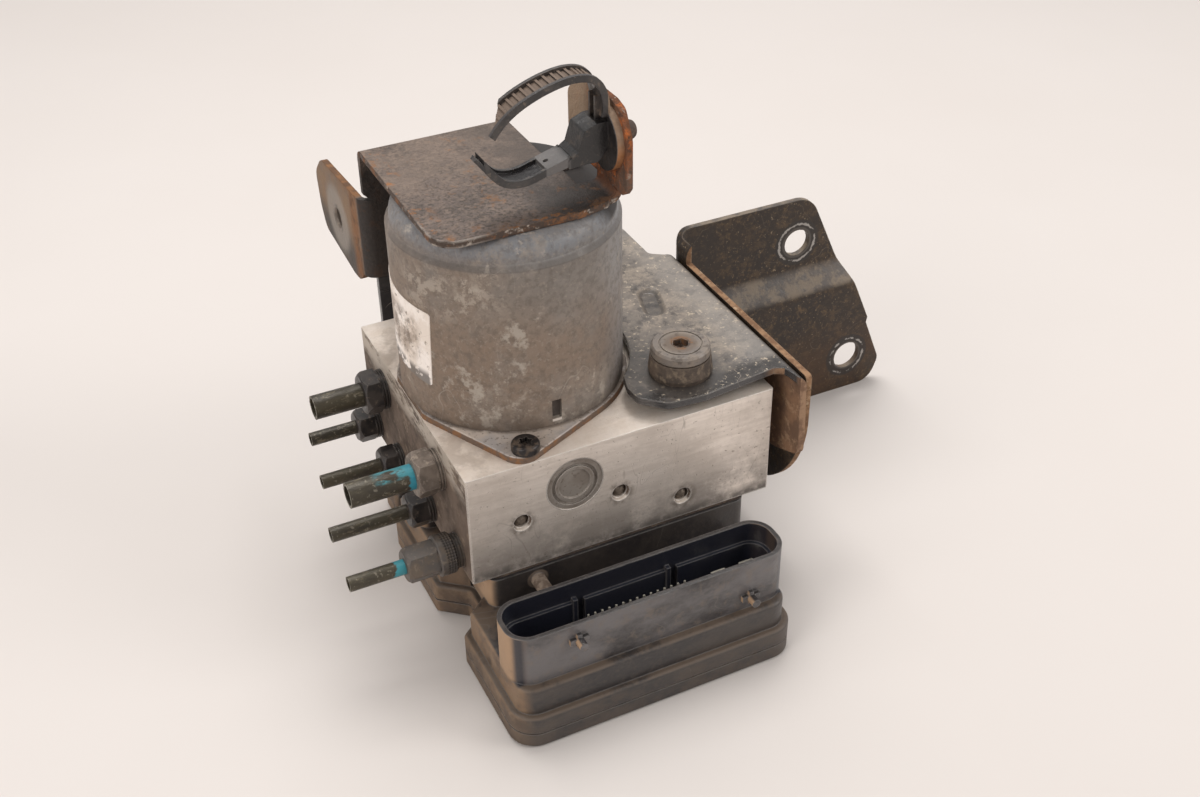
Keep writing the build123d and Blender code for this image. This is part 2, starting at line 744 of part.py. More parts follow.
# flare nut with collar, hexagon and threaded end; the corner one is long and knurled
def line_nut(y, z, tube, flats, start, end, knurled):
    port = port_radius(tube)
    collar = 7.1 if tube > 3 else 5.9
    with BuildPart(mode=Mode.PRIVATE) as nut:
        with BuildSketch(Plane.YZ.offset(block_left)):
            with Locations((y, z)):
                Circle(port)
        extrude(amount=11)
        with BuildSketch(Plane.YZ.offset(block_left)):
            with Locations((y, z)):
                Circle(collar)
        extrude(amount=-start)
        for groove in (0.5, 1.5):
            with BuildSketch(Plane.YZ.offset(block_left - groove)):
                with Locations((y, z)):
                    Circle(collar + 1)
                    Circle(collar - 0.6, mode=Mode.SUBTRACT)
            extrude(amount=-0.5, mode=Mode.SUBTRACT)
        if knurled:
            with BuildSketch(Plane.YZ.offset(block_left - 2.6)):
                with Locations((y, z)):
                    Circle(6.9)
            extrude(amount=-(start - 2.8))
            collar_rim = nut.edges().filter_by(GeomType.CIRCLE)
            chamfer(collar_rim.filter_by(lambda edge: edge.radius > 6.8), length=0.5)
        with BuildSketch(Plane.YZ.offset(block_left - start)):
            with Locations((y, z)):
                RegularPolygon(flats / 2, 6, major_radius=False, rotation=8)
        extrude(amount=-(end - start))
        cone_top = flats / 2 / math.cos(math.radians(30))
        with BuildSketch(Plane.XY.offset(z)):
            with BuildLine():
                Polyline(
                    (block_left - end - 1, y + flats / 2 - 1.4),
                    (block_left - end - 1, y + cone_top + 2),
                    (block_left - end + 1.4, y + cone_top + 2),
                    (block_left - end + 1.4, y + cone_top),
                    close=True,
                )
            make_face()
        revolve(axis=Axis((0, y, z), (1, 0, 0)), mode=Mode.SUBTRACT)
        with BuildSketch(Plane.YZ.offset(block_left + 11)):
            with Locations((y, z)):
                Circle(tube - coat + press_gap)
        extrude(amount=-40, mode=Mode.SUBTRACT)
    return nut.part


# cut pipe stub, its coat stripped where it runs inside the nut
def line_tube(y, z, tube, end, reach):
    with BuildPart(mode=Mode.PRIVATE) as stub:
        with BuildSketch(Plane.YZ.offset(block_left - reach)):
            with Locations((y, z)):
                Circle(tube)
        extrude(amount=reach - end)
        with BuildSketch(Plane.YZ.offset(block_left - end)):
            with Locations((y, z)):
                Circle(tube - coat)
        extrude(amount=end + 10)
        with BuildSketch(Plane.YZ.offset(block_left - reach)):
            with Locations((y, z)):
                Circle(tube * 0.78)
        extrude(amount=reach + 10, mode=Mode.SUBTRACT)
    return stub.part


for name, y, z, tube, flats, start, end, reach in line_ports:
    with BuildPart() as nut_part:
        add(line_nut(y, z, tube, flats, start, end, name == "corner_line"))
    save(nut_part, name + "_nut")
    with BuildPart() as tube_part:
        add(line_tube(y, z, tube, end, reach))
    save(tube_part, name + "_tube")


# quarter ring that joins two flat lengths of a bent sheet
def bend_section(centre, sheet, quadrant):
    outer = bend_radius + sheet
    with BuildSketch(mode=Mode.PRIVATE) as quarter:
        with Locations(centre):
            Circle(outer)
            Circle(bend_radius, mode=Mode.SUBTRACT)
        with Locations((centre[0] + quadrant[0] * outer / 2, centre[1] + quadrant[1] * outer / 2)):
            Rectangle(outer, outer, mode=Mode.INTERSECT)
    return quarter.sketch


# top bracket: plate on the can, upright lug for the clip, rear wall, side tab and lap plate
with BuildPart() as top_bracket:
    with BuildSketch(Plane.XY.offset(can_top)) as top_plate:
        with BuildLine():
            Polyline(
                (-33.2, -30.7),
                (13.1, -30.7),
                (22.6, -28.4),
                (24.1, -26.9),
                (24.1, 6.3),
                (18.1, 10.1),
                (18.1, top_wall - 2),
                (-33.2, top_wall - 2),
                close=True,
            )
        make_face()
        fillet(top_plate.vertices().sort_by_distance((-33.2, -30.7))[0], radius=8.5)
        fillet(top_plate.vertices().sort_by_distance((13.1, -30.7))[0], radius=12)
        fillet(top_plate.vertices().sort_by_distance((18.1, 10.1))[0], radius=3)
    extrude(amount=top_sheet)
    with BuildSketch(Plane.XZ.offset(-6.3)):
        add(bend_section((24.1, can_top + top_sheet + bend_radius), top_sheet, (1, -1)))
    extrude(amount=33.2)
    with BuildSketch(Plane.YZ.offset(26.1)) as lug:
        with BuildLine():
            Polyline(
                (-26.9, can_top + 4.2),
                (-24.6, can_top + 5.4),
                (-31.5, can_top + 4.6),
                (-33.9, can_top + 7.5),
                (-33.9, can_top + 23.6),
                (-29.4, can_top + 31.6),
                (-24.4, can_top + 32.8),
                (-2.0, can_top + 32.6),
                (6.3, can_top + 24.2),
                (6.3, can_top + 4.2),
                close=True,
            )
        make_face()
        for spot, size in (
            ((-31.5, can_top + 4.6), 1.6),
            ((-33.9, can_top + 7.5), 2),
            ((-33.9, can_top + 23.6), 6),
            ((-29.4, can_top + 31.6), 3),
            ((-2.0, can_top + 32.6), 5),
            ((6.3, can_top + 24.2), 4),
        ):
            fillet(lug.vertices().sort_by_distance(spot)[0], radius=size)
    extrude(amount=top_sheet)
    with BuildSketch(Plane.XY.offset(can_top - 1)):
        with Locations((25.2, -7)):
            Rectangle(12, 14)
    extrude(amount=6.5, mode=Mode.SUBTRACT)
    with BuildSketch(Plane.YZ.offset(-33.2)):
        add(bend_section((top_wall - bend_radius, can_top - bend_radius), top_sheet, (1, 1)))
    extrude(amount=51.3)
    with BuildSketch(Plane.XZ.offset(-top_wall - top_sheet)) as back_wall:
        with BuildLine():
            Polyline(
                (-33.2, can_top - bend_radius),
                (18.1, can_top - bend_radius),
                (18.1, shelf_height + 7),
                (15.0, shelf_height + 4.2),
                (-20.0, shelf_height + 4.2),
                (-20.0, shelf_height),
                (-30.7, shelf_height),
                (-30.7, shelf_height + 29.5),
                (-33.2, shelf_height + 32.0),
                close=True,
            )
        make_face()
        fillet(back_wall.vertices().sort_by_distance((18.1, shelf_height + 7))[0], radius=2)
    extrude(amount=top_sheet)
    with BuildSketch(Plane.XY.offset(shelf_height)):
        add(bend_section((-30.7, top_wall + top_sheet + bend_radius), top_sheet, (-1, -1)))
    extrude(amount=29.5)
    with BuildSketch(Plane.YZ.offset(tab_left)) as tab:
        with BuildLine():
            Polyline(
                (top_wall + 4.2, shelf_height + 29.5),
                (top_wall + 43.9, shelf_height + 26.0),
                (top_wall + 52.8, shelf_height + 17.5),
                (top_wall + 50.8, shelf_height + 5.0),
                (top_wall + 47.0, shelf_height - 2.6),
                (top_wall + 15.9, shelf_height - 5.6),
                (top_wall + 9.4, shelf_height - 4.8),
                (top_wall + 4.2, shelf_height),
                close=True,
            )
        make_face()
        for spot, size in (
            ((top_wall + 43.9, shelf_height + 26.0), 8),
            ((top_wall + 52.8, shelf_height + 17.5), 7),
            ((top_wall + 50.8, shelf_height + 5.0), 10),
            ((top_wall + 47.0, shelf_height - 2.6), 5),
            ((top_wall + 15.9, shelf_height - 5.6), 8),
            ((top_wall + 9.4, shelf_height - 4.8), 5),
        ):
            fillet(tab.vertices().sort_by_distance(spot)[0], radius=size)
        with Locations(tab_hole):
            Circle(weld_nut_radius + press_gap, mode=Mode.SUBTRACT)
    extrude(amount=top_sheet)
    with BuildSketch(Plane.YZ.offset(-20)):
        add(bend_section((top_wall + 4.2, shelf_height + 4.2), top_sheet, (-1, -1)))
    extrude(amount=35)
    shelf_start = top_wall + 4.2
    shelf_end = rear_wall_front - top_sheet - bend_radius
    with BuildSketch(Plane.XY.offset(shelf_height)):
        with Locations((-2.5, (shelf_start + shelf_end) / 2)):
            Rectangle(35, shelf_end - shelf_start)
    extrude(amount=top_sheet)
    with BuildSketch(Plane.YZ.offset(-20)):
        add(bend_section((shelf_end, shelf_height - bend_radius), top_sheet, (1, 1)))
    extrude(amount=35)
    with BuildSketch(Plane.XZ.offset(-rear_wall_front)) as lap:
        with Locations((-2.5, shelf_height - bend_radius - 7)):
            Rectangle(35, 14)
        fillet(lap.vertices().group_by(Axis.Y)[0], radius=4)
    extrude(amount=top_sheet)
    with BuildSketch(Plane.YZ.offset(26)):
        with Locations((clip_middle, clip_height)):
            Circle(3.5)
    extrude(amount=3, mode=Mode.SUBTRACT)
save(top_bracket, "top_bracket")

# weld nut on the inner face of the side tab
with BuildPart() as tab_weld_nut:
    with BuildSketch(Plane.YZ.offset(tab_left)):
        with Locations(tab_hole):
            Circle(weld_nut_radius)
    extrude(amount=top_sheet + 1)
    with BuildSketch(Plane.YZ.offset(tab_left + top_sheet)):
        with Locations(tab_hole):
            RegularPolygon(7, 6, major_radius=False)
    extrude(amount=6.5)
    chamfer(tab_weld_nut.edges().filter_by(Plane.YZ).group_by(Axis.X)[-1], length=0.8)
    with BuildSketch(Plane.YZ.offset(tab_left - 1)):
        with Locations(tab_hole):
            Circle(3.4)
    extrude(amount=12, mode=Mode.SUBTRACT)
    mouth = tab_weld_nut.edges().filter_by(GeomType.CIRCLE).group_by(Axis.X)[0]
    chamfer(mouth.sort_by(Edge.length)[0], length=0.6)
save(tab_weld_nut, "tab_weld_nut")

# side bracket: plate round the motor, right flange and rear wall
with BuildPart() as side_bracket:
    with BuildSketch(Plane.XY.offset(side_plate_top - side_sheet)) as side_plate:
        with BuildLine():
            Polyline(
                (25.9, -34.9),
                (26.2, -41.2),
                (33.6, -48.6),
                (46.6, -49.8),
                (flange_bend - 3, -46.7),
                (flange_bend, side_front),
                (flange_bend, side_back),
                (flange_bend - 5, side_back + 3.4),
                (flange_bend - 5, rear_wall_front - bend_radius),
                (21.0, rear_wall_front - bend_radius),
                (21.0, 30.0),
                (30.0, -20.0),
                close=True,
            )
        make_face()
        Circle(can_radius + 2.4, mode=Mode.SUBTRACT)
        fillet(side_plate.vertices().sort_by_distance((26.2, -41.2))[0], radius=5)
        fillet(side_plate.vertices().sort_by_distance((33.6, -48.6))[0], radius=5)
        fillet(side_plate.vertices().sort_by_distance((flange_bend - 5, side_back + 3.4))[0], radius=3)
        with Locations(front_mount):
            Circle(7, mode=Mode.SUBTRACT)
    extrude(amount=side_sheet)
    with BuildSketch(Plane.XY.offset(side_plate_top)):
        with Locations((57.4, 8.4)):
            SlotOverall(19, 8.5, rotation=74)
    extrude(amount=-1.3, taper=55, mode=Mode.SUBTRACT)
    with BuildSketch(Plane.XZ.offset(-side_back)):
        add(bend_section((flange_bend, side_plate_top - side_sheet - bend_radius), side_sheet, (1, 1)))
    extrude(amount=side_back - flange_front)
    with BuildSketch(Plane.XY.offset(side_plate_top - 10)):
        with BuildLine():
            Polyline(
                (flange_bend - 1, side_front),
                (flange_bend, side_front),
                (side_flange_out - side_sheet, flange_front),
                (side_flange_out + 1, flange_front - 2),
                (flange_bend - 1, flange_front - 2),
                close=True,
            )
        make_face()
    extrude(amount=12, mode=Mode.SUBTRACT)
    with BuildSketch(Plane.YZ.offset(side_flange_out - side_sheet)) as side_flange:
        with BuildLine():
            Polyline(
                (flange_front, side_plate_top - side_sheet - bend_radius),
                (flange_front - 1.2, 62.0),
                (flange_front - 1.2, 52.4),
                (-42.1, 46.2),
                (side_back, 40.0),
                (side_back, side_plate_top - side_sheet - bend_radius),
                close=True,
            )
        make_face()
        fillet(side_flange.vertices().sort_by_distance((flange_front - 1.2, 52.4))[0], radius=3.5)
        fillet(side_flange.vertices().sort_by_distance((-42.1, 46.2))[0], radius=20)
        fillet(side_flange.vertices().sort_by_distance((side_back, 40.0))[0], radius=6)
    extrude(amount=side_sheet)
    with BuildSketch(Plane.YZ.offset(21)):
        bend_low = side_plate_top - side_sheet - bend_radius
        add(bend_section((rear_wall_front - bend_radius, bend_low), side_sheet, (1, 1)))
    extrude(amount=flange_bend - 26)
    with BuildSketch(Plane.XZ.offset(-rear_wall_front - side_sheet)) as rear_wall:
        with BuildLine():
            Polyline(
                (-25.4, 40.0),
                (flange_bend - 5, 40.0),
                (flange_bend - 5, side_plate_top - side_sheet - bend_radius),
                (21.0, side_plate_top - side_sheet - bend_radius),
                (17.0, side_plate_top - 0.5),
                (17.0, shelf_height - 1.5),
                (-21.4, shelf_height - 1.5),
                (-25.4, shelf_height - 9),
                close=True,
            )
        make_face()
        for spot, size in (
            ((-25.4, 40.0), 6),
            ((flange_bend - 5, 40.0), 6),
            ((17.0, side_plate_top - 0.5), 1.5),
            ((17.0, shelf_height - 1.5), 4),
        ):
            fillet(rear_wall.vertices().sort_by_distance(spot)[0], radius=size)
        with Locations(rear_mount):
            Circle(7, mode=Mode.SUBTRACT)
    extrude(amount=side_sheet)
save(side_bracket, "side_bracket")

# wing bracket: outer leg on the right flange and a wing turned outwards with a soft joggle
wing_low = 30.1
wing_high = 36.1
joggle_low = 51.0
joggle_high = 61.0
joggle_radius = 11.0
upper_wing_hole = (136.1, 72.7)
lower_wing_hole = (160.7, 16.0)

with BuildPart() as wing_keep:
    with BuildSketch(Plane.YZ.offset(side_flange_out)) as leg_shape:
        with BuildLine():
            Polyline(
                (-33.4, 26.1),
                (8.0, 4.0),
                (20.0, 0.0),
                (42.0, 0.0),
                (42.0, 82.5),
                (-54.9, 82.5),
                (-54.9, 62.0),
            )
            ThreePointArc((-54.9, 62.0), (-49.6, 43.4), (-33.4, 26.1))
        make_face()
        fillet(leg_shape.vertices().sort_by_distance((-54.9, 82.5))[0], radius=1.5)
        fillet(leg_shape.vertices().sort_by_distance((20.0, 0.0))[0], radius=12)
    extrude(amount=7.2)
    with BuildSketch(Plane.XZ.offset(-42)) as wing_shape:
        with BuildLine():
            Polyline(
                (side_flange_out, 0.0),
                (173.4, 0.0),
                (177.0, 10.2),
                (169.0, 29.8),
                (169.5, 32.2),
                (161.2, 51.2),
                (155.4, 61.0),
                (141.6, 91.3),
                (side_flange_out, 91.3),
                close=True,
            )
        make_face()
        for spot, size in (
            ((173.4, 0.0), 8),
            ((177.0, 10.2), 5),
            ((161.2, 51.2), 20),
            ((155.4, 61.0), 8),
            ((141.6, 91.3), 10),
            ((side_flange_out, 91.3), 7),
        ):
            fillet(wing_shape.vertices().sort_by_distance(spot)[0], radius=size)
    extrude(amount=15)

with BuildPart() as wing_bracket:
    with BuildSketch(Plane.YZ.offset(side_flange_out)) as wing_section:
        with BuildLine():
            Polyline(
                (wing_low, -1.0),
                (wing_low, joggle_low),
                (wing_high, joggle_high),
                (wing_high, 94.0),
                (wing_high + wing_sheet, 94.0),
                (wing_high + wing_sheet, joggle_high - 0.6),
                (wing_low + wing_sheet, joggle_low - 0.6),
                (wing_low + wing_sheet, -1.0),
                close=True,
            )
        make_face()
        for spot, size in (
            ((wing_low, joggle_low), joggle_radius - wing_sheet),
            ((wing_high, joggle_high), joggle_radius),
            ((wing_high + wing_sheet, joggle_high - 0.6), joggle_radius - wing_sheet),
            ((wing_low + wing_sheet, joggle_low - 0.6), joggle_radius),
        ):
            fillet(wing_section.vertices().sort_by_distance(spot)[0], radius=size)
    extrude(amount=100)
    with BuildSketch(Plane.YZ.offset(side_flange_out)):
        with BuildLine():
            Polyline(
                (-60, -1.0),
                (wing_low + 1, -1.0),
                (wing_low + 1, joggle_low),
                (wing_high + 1, joggle_high),
                (wing_high + 1, 94.0),
                (-60, 94.0),
                close=True,
            )
        make_face()
    extrude(amount=wing_sheet)
    wing_face = side_flange_out + wing_sheet
    corner = wing_bracket.edges().filter_by(lambda edge: abs(edge.center().X - wing_face) < 0.01)
    fillet(corner.filter_by(lambda edge: wing_low - 0.5 < edge.center().Y < wing_high + 0.5), radius=3)
    back = wing_bracket.edges().filter_by(lambda edge: abs(edge.center().X - side_flange_out) < 0.01)
    fillet(back.filter_by(lambda edge: edge.center().Y > wing_low + 2), radius=5)
    add(wing_keep.part, mode=Mode.INTERSECT)
    with BuildSketch(Plane.XZ.offset(-45)):
        with Locations(upper_wing_hole):
            Circle(5.5)
        with Locations(lower_wing_hole):
            Circle(6)
    extrude(amount=20, mode=Mode.SUBTRACT)
save(wing_bracket, "wing_bracket")


# rubber bush with a neck in the sheet, and the flat-headed screw through it
def bush(place, base, sheet_low, sheet_high, top, radius):
    with BuildPart(mode=Mode.PRIVATE) as rubber:
        with BuildSketch(place):
            with BuildLine():
                Polyline(
                    (3.4, base),
                    (radius - 0.4, base),
                    (radius - 0.4, sheet_low),
                    (6.6, sheet_low),
                    (6.6, sheet_high),
                    (radius, sheet_high),
                    (radius + 0.4, sheet_high + 1.6),
                    (radius - 0.2, top),
                    (3.4, top),
                    close=True,
                )
            make_face()
        revolve(axis=Axis(place.origin, place.y_dir))
    return rubber.part


def mount_screw(place, top, radius, head, reach):
    with BuildPart(mode=Mode.PRIVATE) as screw:
        with BuildSketch(place):
            with BuildLine():
                Polyline(
                    (0, top),
                    (radius - 3.2, top),
                    (radius - 3.2, top - 0.4),
                    (radius - 2.6, top - 0.4),
                    (radius - 2.6, top),
                    (radius - 0.7, top),
                    (radius, top - 0.7),
                    (radius, top - head + 0.5),
                    (radius - 0.5, top - head),
                    (3.0, top - head),
                    (3.0, top - reach),
                    (0, top - reach),
                    close=True,
                )
            make_face()
        revolve(axis=Axis(place.origin, place.y_dir))
        with BuildSketch(Plane(place.origin + place.y_dir * top, place.x_dir, place.y_dir)):
            RegularPolygon(2.9, 6)
        extrude(amount=-2.6, mode=Mode.SUBTRACT)
    return screw.part


front_bush_top = side_plate_top + 6.9
rear_bush_end = rear_wall_front + side_sheet + 6.9
front_place = Plane((front_mount[0], front_mount[1], 0), (1, 0, 0), (0, -1, 0))
rear_place = Plane((rear_mount[0], 0, rear_mount[1]), (1, 0, 0), (0, 0, 1))

with BuildPart() as front_rubber_mount:
    add(bush(front_place, block_top, side_plate_top - side_sheet, side_plate_top, front_bush_top, 10.3))
save(front_rubber_mount, "front_rubber_mount")

with BuildPart() as front_mount_screw:
    add(mount_screw(front_place, front_bush_top + 3.6, 9.85, 3.6, 27))
save(front_mount_screw, "front_mount_screw")

with BuildPart() as rear_rubber_mount:
    add(bush(rear_place, block_back, rear_wall_front, rear_wall_front + side_sheet, rear_bush_end, 10.3))
save(rear_rubber_mount, "rear_rubber_mount")

with BuildPart() as rear_mount_screw:
    add(mount_screw(rear_place, rear_bush_end + 3.6, 9.85, 3.6, 33))
save(rear_mount_screw, "rear_mount_screw")

# open cable clip: toothed strap, latch body, lower jaw and a stud through the lug, heights above the can
strap_line = [
    (-12.3, 29.4),
    (-6.5, 35.2),
    (0.3, 38.8),
    (7.6, 41.1),
    (14.5, 41.8),
    (19.4, 40.3),
    (22.0, 36.2),
    (22.3, 29.0),
]
jaw_line = [
    (-17.2, 22.8),
    (-13.2, 17.6),
    (-10.3, 14.8),
    (-6.5, 13.4),
    (-1.2, 13.5),
    (3.4, 14.8),
    (8.5, 15.8),
    (12.0, 17.6),
]


# both sides of a curved band of even thickness
def band_sides(points, thickness):
    sides = ([], [])
    last = len(points) - 1
    for index, point in enumerate(points):
        before = points[max(index - 1, 0)]
        after = points[min(index + 1, last)]
        run = math.dist(before, after)
        normal = (-(after[1] - before[1]) / run, (after[0] - before[0]) / run)
        for side, sign in zip(sides, (0.5, -0.5)):
            side.append((point[0] + sign * thickness * normal[0], point[1] + sign * thickness * normal[1]))
    return sides


def band_face(points, thickness):
    upper, lower = band_sides(points, thickness)
    with BuildSketch(mode=Mode.PRIVATE) as face:
        with BuildLine():
            Spline(*upper)
            Line(upper[-1], lower[-1])
            Spline(*reversed(lower))
            Line(lower[0], upper[0])
        make_face()
    return face.sketch


# upright plane across the clip, its origin level with the can top
def clip_plane(y):
    return Plane((0, y, can_top), (1, 0, 0), (0, -1, 0))


clip_near = clip_middle - strap_half
clip_far = clip_middle + strap_half
tooth_count = 17
rail = 1.3

with BuildPart() as cable_clip:
    for line, floor_thick, rail_thick in ((strap_line, 1.0, 3.4), (jaw_line, 1.2, 3.2)):
        with BuildSketch(clip_plane(clip_far)):
            add(band_face(line, floor_thick))
        extrude(amount=2 * strap_half)
        upper, lower = band_sides(line, rail_thick)
        middle = [((a[0] + b[0]) / 2, (a[1] + b[1]) / 2) for a, b in zip(upper, line)]
        for edge in (clip_far, clip_near + rail):
            with BuildSketch(clip_plane(edge)):
                add(band_face(middle, rail_thick / 2))
            extrude(amount=rail)
    for tooth in range(tooth_count):
        place = (0.05 + tooth * 0.78 / tooth_count) * (len(strap_line) - 1)
        index = int(place)
        part_way = place - index
        start = strap_line[index]
        end = strap_line[index + 1]
        spot = (start[0] + part_way * (end[0] - start[0]), start[1] + part_way * (end[1] - start[1]))
        angle = math.degrees(math.atan2(end[1] - start[1], end[0] - start[0]))
        with BuildSketch(clip_plane(clip_far - 0.5)):
            with Locations(Location(spot, angle)):
                with Locations((0, 0.8)):
                    Rectangle(0.8, 0.9)
        extrude(amount=2 * strap_half - 1)
    with BuildSketch(clip_plane(clip_far)) as block_face:
        with BuildLine():
            Polyline(
                (3.6, 14.2),
                (8.2, 15.0),
                (11.6, 15.8),
                (12.6, 18.4),
                (11.4, 18.8),
                (3.6, 16.6),
                close=True,
            )
        make_face()
    extrude(amount=2 * strap_half)
    with BuildSketch(clip_plane(clip_far + 0.3)) as lock_face:
        with BuildLine():
            Polyline(
                (10.8, 15.0),
                (17.1, 15.4),
                (20.2, 15.2),
                (23.4, 19.0),
                (23.7, 27.6),
                (20.0, 27.6),
                (15.8, 26.0),
                (13.8, 19.8),
                (10.8, 17.8),
                close=True,
            )
        make_face()
        fillet(lock_face.vertices().sort_by_distance((20.2, 15.2))[0], radius=2)
        fillet(lock_face.vertices().sort_by_distance((15.8, 26.0))[0], radius=1)
    extrude(amount=2 * strap_half + 0.6)
    with BuildSketch(clip_plane(clip_near + 2.2)):
        with Locations(Location((17.6, 24.6), 35)):
            RectangleRounded(5, 1.6, 0.4)
    extrude(amount=-2 * strap_half + 4.4, mode=Mode.SUBTRACT)
    with BuildSketch(Plane.XY.offset(can_top + 26.5)):
        for y in (clip_middle - 1.8, clip_middle + 1.8):
            with Locations((21.4, y)):
                Rectangle(1.6, 0.9)
    extrude(amount=8.5)
    with BuildSketch(Plane.XY.offset(can_top + 12)):
        with Locations((5.3, clip_middle)):
            Circle(0.8)
    extrude(amount=8, mode=Mode.SUBTRACT)
    with BuildSketch(Plane.XY.offset(can_top + 45)):
        with BuildLine():
            Polyline(
                (-17, clip_far + 1),
                (-6.0, clip_far + 1),
                (-12.0, clip_near + 1.2),
                (-17, clip_near + 1.2),
                close=True,
            )
        make_face()
    extrude(amount=-17, mode=Mode.SUBTRACT)
    with BuildSketch(Plane.XY.offset(can_top + 26)):
        for edge, way in ((clip_far, 1), (clip_near, -1)):
            with BuildLine():
                Polyline(
                    (-20, edge + way),
                    (-13, edge + way),
                    (-17.2, edge - way * 3.2),
                    (-20, edge - way * 3.2),
                    close=True,
                )
            make_face()
    extrude(amount=-10, mode=Mode.SUBTRACT)
    with BuildSketch(Plane.YZ.offset(23.5)):
        with Locations((clip_middle - 0.6, clip_height - 0.3)):
            Circle(10)
    extrude(amount=2.6)
    with BuildSketch(Plane.YZ.offset(23.5)):
        with Locations((clip_middle, clip_height)):
            Circle(3.3)
    extrude(amount=7.6)
    with BuildSketch(Plane.YZ.offset(26.1 + top_sheet)):
        with Locations((clip_middle, clip_height)):
            Circle(4.3)
    extrude(amount=6.4, taper=15)
    fillet(cable_clip.edges().filter_by(GeomType.CIRCLE).group_by(Axis.X)[-1], radius=1.7)
save(cable_clip, "cable_clip")
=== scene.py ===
import bpy
import math
from mathutils import Matrix, Vector

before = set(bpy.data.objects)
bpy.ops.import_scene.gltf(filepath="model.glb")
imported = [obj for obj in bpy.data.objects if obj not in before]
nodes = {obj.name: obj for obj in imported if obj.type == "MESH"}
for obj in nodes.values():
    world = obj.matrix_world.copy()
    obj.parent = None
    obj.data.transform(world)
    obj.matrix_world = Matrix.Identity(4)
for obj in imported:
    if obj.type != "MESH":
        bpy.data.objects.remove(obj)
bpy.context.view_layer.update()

# samples a bevel node takes
bevelSamples = 4
# first input, second input and output of a mix node, for each kind of value
mixSockets = {"RGBA": (6, 7, 2), "FLOAT": (2, 3, 0)}


# a screen colour of 0 to 255 as the linear colour a shader takes
def fromSrgb(r, g, b):
    def channel(value):
        value = value / 255
        return value / 12.92 if value <= 0.04045 else ((value + 0.055) / 1.055) ** 2.4
    return (channel(r), channel(g), channel(b), 1.0)


def newGroup(name, vectors, floats, result):
    group = bpy.data.node_groups.new(name, "ShaderNodeTree")
    for label in vectors:
        group.interface.new_socket(name=label, in_out="INPUT", socket_type="NodeSocketVector")
    for label, value in floats.items():
        socket = group.interface.new_socket(name=label, in_out="INPUT", socket_type="NodeSocketFloat")
        socket.default_value = value
    group.interface.new_socket(name=result, in_out="OUTPUT", socket_type="NodeSocketFloat")
    return group, group.nodes.new("NodeGroupInput"), group.nodes.new("NodeGroupOutput")


def math2(tree, operation, first, second=0.0, clamp=False):
    node = tree.nodes.new("ShaderNodeMath")
    node.operation = operation
    node.use_clamp = clamp
    for index, value in enumerate((first, second)):
        if isinstance(value, (int, float)):
            node.inputs[index].default_value = value
        else:
            tree.links.new(value, node.inputs[index])
    return node.outputs[0]


def vectorMath(tree, operation, *vectors):
    node = tree.nodes.new("ShaderNodeVectorMath")
    node.operation = operation
    for index, vector in enumerate(vectors):
        tree.links.new(vector, node.inputs[index])
    return node.outputs["Value" if operation in ("LENGTH", "DOT_PRODUCT") else "Vector"]


def smooth(tree, value, low, high):
    node = tree.nodes.new("ShaderNodeMapRange")
    node.interpolation_type = "SMOOTHSTEP"
    tree.links.new(value, node.inputs["Value"])
    for label, edge in (("From Min", low), ("From Max", high)):
        if isinstance(edge, (int, float)):
            node.inputs[label].default_value = edge
        else:
            tree.links.new(edge, node.inputs[label])
    return node.outputs["Result"]


# patches of noise: 1 where noise is above Level, soft over Softness
patchValues = {"Scale": 100.0, "Level": 0.6, "Softness": 0.05, "Detail": 6.0, "Rough": 0.6}
patchGroup, start, end = newGroup("patches", ["Vector"], patchValues, "Mask")
noise = patchGroup.nodes.new("ShaderNodeTexNoise")
for label, into in (("Vector", "Vector"), ("Scale", "Scale"), ("Detail", "Detail"), ("Rough", "Roughness")):
    patchGroup.links.new(start.outputs[label], noise.inputs[into])
low = math2(patchGroup, "SUBTRACT", start.outputs["Level"], start.outputs["Softness"])
high = math2(patchGroup, "ADD", start.outputs["Level"], start.outputs["Softness"])
patchGroup.links.new(smooth(patchGroup, noise.outputs["Fac"], low, high), end.inputs["Mask"])

# thin wandering lines, for scratches
hairGroup, start, end = newGroup("hairs", ["Vector"], {"Scale": 40.0, "Width": 0.004}, "Mask")
hairNoise = {"Detail": 1.5, "Distortion": 0.6}
noise = hairGroup.nodes.new("ShaderNodeTexNoise")
for label, value in hairNoise.items():
    noise.inputs[label].default_value = value
for label in ("Vector", "Scale"):
    hairGroup.links.new(start.outputs[label], noise.inputs[label])
off = math2(hairGroup, "ABSOLUTE", math2(hairGroup, "SUBTRACT", noise.outputs["Fac"], 0.5))
line = math2(hairGroup, "SUBTRACT", 1.0, math2(hairGroup, "DIVIDE", off, start.outputs["Width"]), True)
hairGroup.links.new(line, end.inputs["Mask"])

# distance from a line along one axis, for rings round holes and screws
ringGroup, start, end = newGroup("ringDistance", ["Vector", "Centre", "Across"], {}, "Distance")
gap = vectorMath(ringGroup, "SUBTRACT", start.outputs["Vector"], start.outputs["Centre"])
flat = vectorMath(ringGroup, "MULTIPLY", gap, start.outputs["Across"])
ringGroup.links.new(vectorMath(ringGroup, "LENGTH", flat), end.inputs["Distance"])


